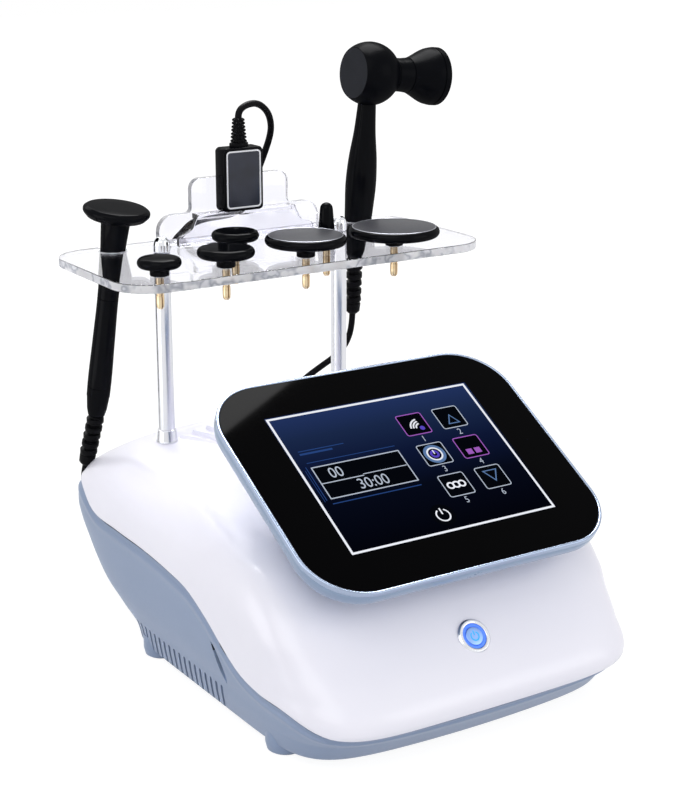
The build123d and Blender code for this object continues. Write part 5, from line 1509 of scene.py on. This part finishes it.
settle(hammer_grip, black, "hammer_handle", "grip_black", "hammer_grip")

# %% [markdown]
# ## Reliefs
# Where a cord leaves its handle it is held by a soft sleeve of tilted ribs with slots
# between them, so that it bends but can't kink. One rib is turned and copied by the row
# tree; every other one is tipped the other way. A core runs up the middle and a collar
# grips the cord.

# %% Ribbed sleeves
RIBS, RIB_R, RIB_TILT, SLEEVE_R, COLLAR_LENGTH = 5, 6.4, 11, 3.9, 9.0


def relief(name, start, end, body, node):
    """Core, tilted ribs and a tapered collar from start to end."""
    base = axis_frame(start, Vector(end) - Vector(start))
    length = (Vector(end) - Vector(start)).length
    ribbed = length - COLLAR_LENGTH
    pitch = ribbed / RIBS
    collar = [(SLEEVE_R, ribbed, 0), (6.1, ribbed + 0.2, 0.6), (5.6, length - 2.2, 1.2),
              (3.4, length, 0.8), (2.7, length, 0)]
    core = lathe(f"{name}_core", [
        (0, 0.05), (5.6, 0.05), (5.6, 1.2), (SLEEVE_R, 1.6), (SLEEVE_R, ribbed),
        *rounded(collar, steps=4), (0, length)], base, 64)
    root, low, high = SLEEVE_R - 0.8, -pitch * 0.36, pitch * 0.3
    rib_loop = rounded([(RIB_R, low, 0.5), (RIB_R, high, 0.9), (root, high, 0.1), (root, low, 0.1)],
                       True, 3)
    rib = lathe(f"{name}_rib", rib_loop, segments=48, closed=True)
    rings = row_of(f"{name}_ribs", rib, rubber, RIBS, start=(0, 0, pitch * 0.62),
                   step=(0, 0, pitch), first_turn=(-RIB_TILT * 0.3, RIB_TILT, 0),
                   sway=(RIB_TILT * 0.9, -RIB_TILT * 0.35, 0), base=base)
    settle(core, rubber, body, "cord_black", node)
    settle(rings, rubber, body, "cord_black")


relief("left_relief", along(LEFT_HOLE, LEFT_LEAN, -LEFT_GRIP_LOW), LEFT_RELIEF_END,
       "left_handle", "handle_relief")
relief("hammer_relief", along(HAMMER_HOLE, HAMMER_LEAN, -HAMMER_GRIP_LOW), HAMMER_RELIEF_END,
       "hammer_handle", "hammer_relief")

# %% [markdown]
# ## The flat plug on the rest
# A flat moulded box with rounded corners, a recessed plate with a thin bright line round it,
# and a ribbed relief. The real plate carries letters; this one is bare.

# %% Plug box, plate and relief
PLUG_X, PLUG_Y, PLUG_LOW = -5, 153.7, 301.1
PLUG_WIDTH, PLUG_HEIGHT, PLUG_THICK = 33, 46.5, 14
PLUG_MIDDLE = (PLUG_X, PLUG_Y - PLUG_THICK / 2, PLUG_LOW + PLUG_HEIGHT / 2)
front_ways = Matrix.Translation(PLUG_MIDDLE) @ STANDING
box_steps = [(-1.4, -PLUG_THICK), (-0.5, -PLUG_THICK + 0.4), (0, -PLUG_THICK + 1.4), (0, -1.6),
             (-0.3, -0.7), (-1.1, -0.1), (-1.9, 0), (-2.9, -0.3)]
plug_box = loft("plug_box", [
    (box_loop(PLUG_WIDTH + 2 * g, PLUG_HEIGHT + 2 * g, max(3.4 + g, 0.6)), d)
    for g, d in box_steps], front_ways, 40)
settle(plug_box, black, "flat_plug", "grip_black", "plug_case")
plate_gloss = coated("dark_gloss_plate", ("#2C3142", "#171A24"), (0.16, 0.1, 6, 2), None, (16, 1),
                     Specular_IOR_Level=0.4)
plate = sheet_cut("plug_plate", [box_loop(PLUG_WIDTH - 6.6, PLUG_HEIGHT - 6.6, 2.2)], 0.5, 0.1,
                  Matrix.Translation((0, 0.55, 0)) @ front_ways)
settle(plate, plate_gloss, "flat_plug", "label_grey", "plug_label")
pale_line = coated("pale_frame_line", ("#F2F3F6", "#DCDEE5"), (0.3, 0.1, 1, 2), None, (5, 2),
                   Specular_IOR_Level=0.3)
line_steps = ((-4.4, -0.5), (-4.5, 0.12), (-4.7, 0.2), (-6.5, 0.2), (-6.7, 0.12), (-6.8, -0.4))
plate_line = loft("plug_plate_line", [
    (box_loop(PLUG_WIDTH + g, PLUG_HEIGHT + g, 5.3 + g / 2), d) for g, d in line_steps],
    front_ways, 40, poles=False)
settle(plate_line, pale_line, "flat_plug", "label_grey")

# %% [markdown]
# ## The plug's flange and studded relief
# Over the box a soft oval flange carries a sleeve with rows of small studs, set like bricks,
# so the cord bends there without a kink. One ring of studs is copied by the row tree, with
# every other ring turned by half a stud, and the whole then tapers towards the cord.

# %% The plug's flange and its studded relief
PLUG_TOP = PLUG_LOW + PLUG_HEIGHT
STUD_ROWS, STUDS, RELIEF_FOOT, RELIEF_TOP = 7, 9, PLUG_TOP + 3, PLUG_RELIEF_TOP[2]
stud_pitch = (RELIEF_TOP - RELIEF_FOOT) / STUD_ROWS


def oval(across, deep):
    turns = [2 * pi * k / 64 for k in range(64)]
    return [(PLUG_X + across * cos(a), PLUG_Y + deep * sin(a)) for a in turns]


def studded(low, high):
    """A ring outline whose radius swells at each stud."""
    turns = [2 * pi * k / 72 for k in range(72)]
    reach = [low + (high - low) * max(cos(STUDS * a), 0) ** 0.6 for a in turns]
    return [(r * cos(a), r * sin(a)) for r, a in zip(reach, turns)]


flange = loft("plug_flange", [(oval(across, deep), PLUG_TOP + up) for across, deep, up in (
    (7.3, 4.5, -0.4), (7.5, 4.75, 0.3), (7.5, 4.75, 2.3), (7.2, 4.5, 2.8), (6.6, 4.2, 3))])
settle(flange, rubber, "flat_plug", "cord_black")
relief_core = lathe("plug_relief_core", [
    (0, RELIEF_FOOT - 1), (4.6, RELIEF_FOOT - 1), (3.5, RELIEF_TOP - 0.6),
    (3.0, RELIEF_TOP - 0.05), (0, RELIEF_TOP - 0.05)],
    Matrix.Translation((PLUG_X, PLUG_Y, 0)), 48)
settle(relief_core, rubber, "flat_plug", "cord_black", "plug_relief")
stud_ring = loft("stud_template", [(studded(low, high), stud_pitch * part) for low, high, part in (
    (4.0, 4.3, 0), (4.2, 5.3, 0.18), (4.2, 5.4, 0.6), (4.0, 4.4, 0.85))])
studs = row_of("plug_relief_ribs", stud_ring, rubber, STUD_ROWS,
               start=(0, 0, RELIEF_FOOT + stud_pitch * 0.06), step=(0, 0, stud_pitch),
               sway=(0, 0, 180 / STUDS), base=Matrix.Translation((PLUG_X, PLUG_Y, 0)))
for point in studs.data.vertices:
    rise = (point.co.z / MM - RELIEF_FOOT) / (RELIEF_TOP - RELIEF_FOOT)
    taper = 1.17 - 0.32 * rise
    point.co.x = PLUG_X * MM + (point.co.x - PLUG_X * MM) * taper
    point.co.y = PLUG_Y * MM + (point.co.y - PLUG_Y * MM) * taper
settle(studs, rubber, "flat_plug", "cord_black")

# %% [markdown]
# ## The second cord's plug
# It lies behind the machine beside its coil: a round moulded grip with finger grooves, a
# taper where the cord goes in, and a metal nose.

# %% Round plug on the table
plug_face = (hammer_last[0] + 6, hammer_last[1], hammer_last[2])
plug_ways = axis_frame(plug_face, (1, 0, 0), (0, 1, 0))
grip_rings = [(r, h + 3 * k) for k in range(5)
              for r, h in ((7.8, 31), (7.2, 32), (7.2, 33), (7.8, 33.6))]
round_plug = lathe("round_plug", [
    (0, 0.15), (2.55, 0.15), (2.9, 6), (3.4, 14), (3.8, 23.4),
    *rounded([(3.9, 24, 0), (7.9, 24, 1.2), (7.9, 30, 0.3)], steps=4), *grip_rings,
    *rounded([(7.9, 46, 0.2), (7.9, 54, 1.0), (0, 54, 0)], steps=4)], plug_ways, 72)
settle(round_plug, moulded, "machine", "cord_black", "hammer_cord_plug")
nose = lathe("round_plug_nose", [(0, 53.5), *rounded([
    (5.2, 53.5, 0), (5.2, 64.6, 0.5), (4.4, 65, 0.2), (4.2, 55, 0.1), (0, 55, 0)])],
    plug_ways, 64)
settle(nose, chrome, "machine", "cord_black")

# %% [markdown]
# ## The cords' lengths
# Each cord is about as long as such a lead usually is between a handle and its socket. The
# left one's route in the CAD is 1.76 m long and the other's 1.36 m.

# %% [markdown]
# ## Studio
# A pale sweep of floor, a large soft lamp high on the left, weaker ones on the right and
# behind, and an even sky. Two more lamps are seen in reflections only: one over the screen's
# glass and one that draws streaks on the black pieces. The floor and the sky look white to
# the camera and in reflections, and the floor keeps the machine's soft shadow.

# %% Floor
floor_mesh = bpy.data.meshes.new("studio_floor")
FLOOR_REACH = 6
floor_mesh.from_pydata([(x * FLOOR_REACH, y * FLOOR_REACH, 0) for x, y in (
    (-1, -1), (1, -1), (1, 1), (-1, 1))], [], [(0, 1, 2, 3)])
floor = bpy.data.objects.new("studio_floor", floor_mesh)
bpy.context.scene.collection.objects.link(floor)


def seen_straight(tree):
    """1 for the camera's own rays, reflections and what is seen through sheet."""
    path = add_node(tree, "ShaderNodeLightPath").outputs
    straight = Wire(tree, path["Is Camera Ray"]) + Wire(tree, path["Is Glossy Ray"])
    return (straight + Wire(tree, path["Is Transmission Ray"])).math("MINIMUM", 1.0)


paper = bpy.data.materials.new("white_paper")
paper.use_nodes = True
tree = paper.node_tree
tree.nodes.clear()
matt = add_node(tree, "ShaderNodeBsdfDiffuse", sockets={"Color": (0.86, 0.86, 0.87, 1)})
lit = add_node(tree, "ShaderNodeEmission", sockets={"Color": (1, 1, 1, 1), "Strength": 1.2})
blend = add_node(tree, "ShaderNodeMixShader")
feed(tree, blend.inputs[0], seen_straight(tree) * 0.76)
tree.links.new(matt.outputs[0], blend.inputs[1])
tree.links.new(lit.outputs[0], blend.inputs[2])
tree.links.new(blend.outputs[0], add_node(tree, "ShaderNodeOutputMaterial").inputs["Surface"])
floor.data.materials.append(paper)

# %% Sky
sky = bpy.data.worlds.new("studio_sky")
bpy.context.scene.world = sky
sky.use_nodes = True
tree = sky.node_tree
tree.nodes.clear()
back = add_node(tree, "ShaderNodeBackground", sockets={
    "Color": (1, 1, 1, 1), "Strength": seen_straight(tree) * 0.33 + 0.67})
tree.links.new(back.outputs[0], add_node(tree, "ShaderNodeOutputWorld").inputs["Surface"])


# %% Lamps
def soft_lamp(name, place, target, size, watts, turn=None):
    """A rectangular lamp that looks at target, or straight down turned by some degrees."""
    lamp = bpy.data.lights.new(name, "AREA")
    lamp.shape, lamp.size, lamp.size_y = "RECTANGLE", size[0], size[1]
    lamp.energy = watts
    holder = bpy.data.objects.new(name, lamp)
    holder.location = place
    aim = (Vector(target) - Vector(place)).to_track_quat("-Z", "Y").to_euler()
    holder.rotation_euler = aim if turn is None else (0, 0, radians(turn))
    bpy.context.scene.collection.objects.link(holder)
    print(name, watts, "W")
    return holder


soft_lamp("key_lamp", (-1.6, -1.2, 2.0), (0, 0, 0.15), (2.2, 2.2), 20)
soft_lamp("fill_lamp", (1.4, -1.8, 0.9), (0, 0, 0.1), (1.6, 1.4), 8)
soft_lamp("rear_lamp", (0.3, 1.6, 1.5), (0, 0, 0.2), (1.5, 0.8), 8)
glass_lamp = soft_lamp("glass_lamp", (0.335, 0.513, 1.24), (0, 0, 0), (0.9, 0.7), 30, turn=24.3)
streak_lamp = soft_lamp("streak_lamp", (-0.68, 0.16, 0.2), (0, 0.16, 0.2), (0.4, 0.5), 1.0)
glass_lamp.visible_diffuse = streak_lamp.visible_diffuse = False
streak_lamp.visible_camera = streak_lamp.visible_transmission = False
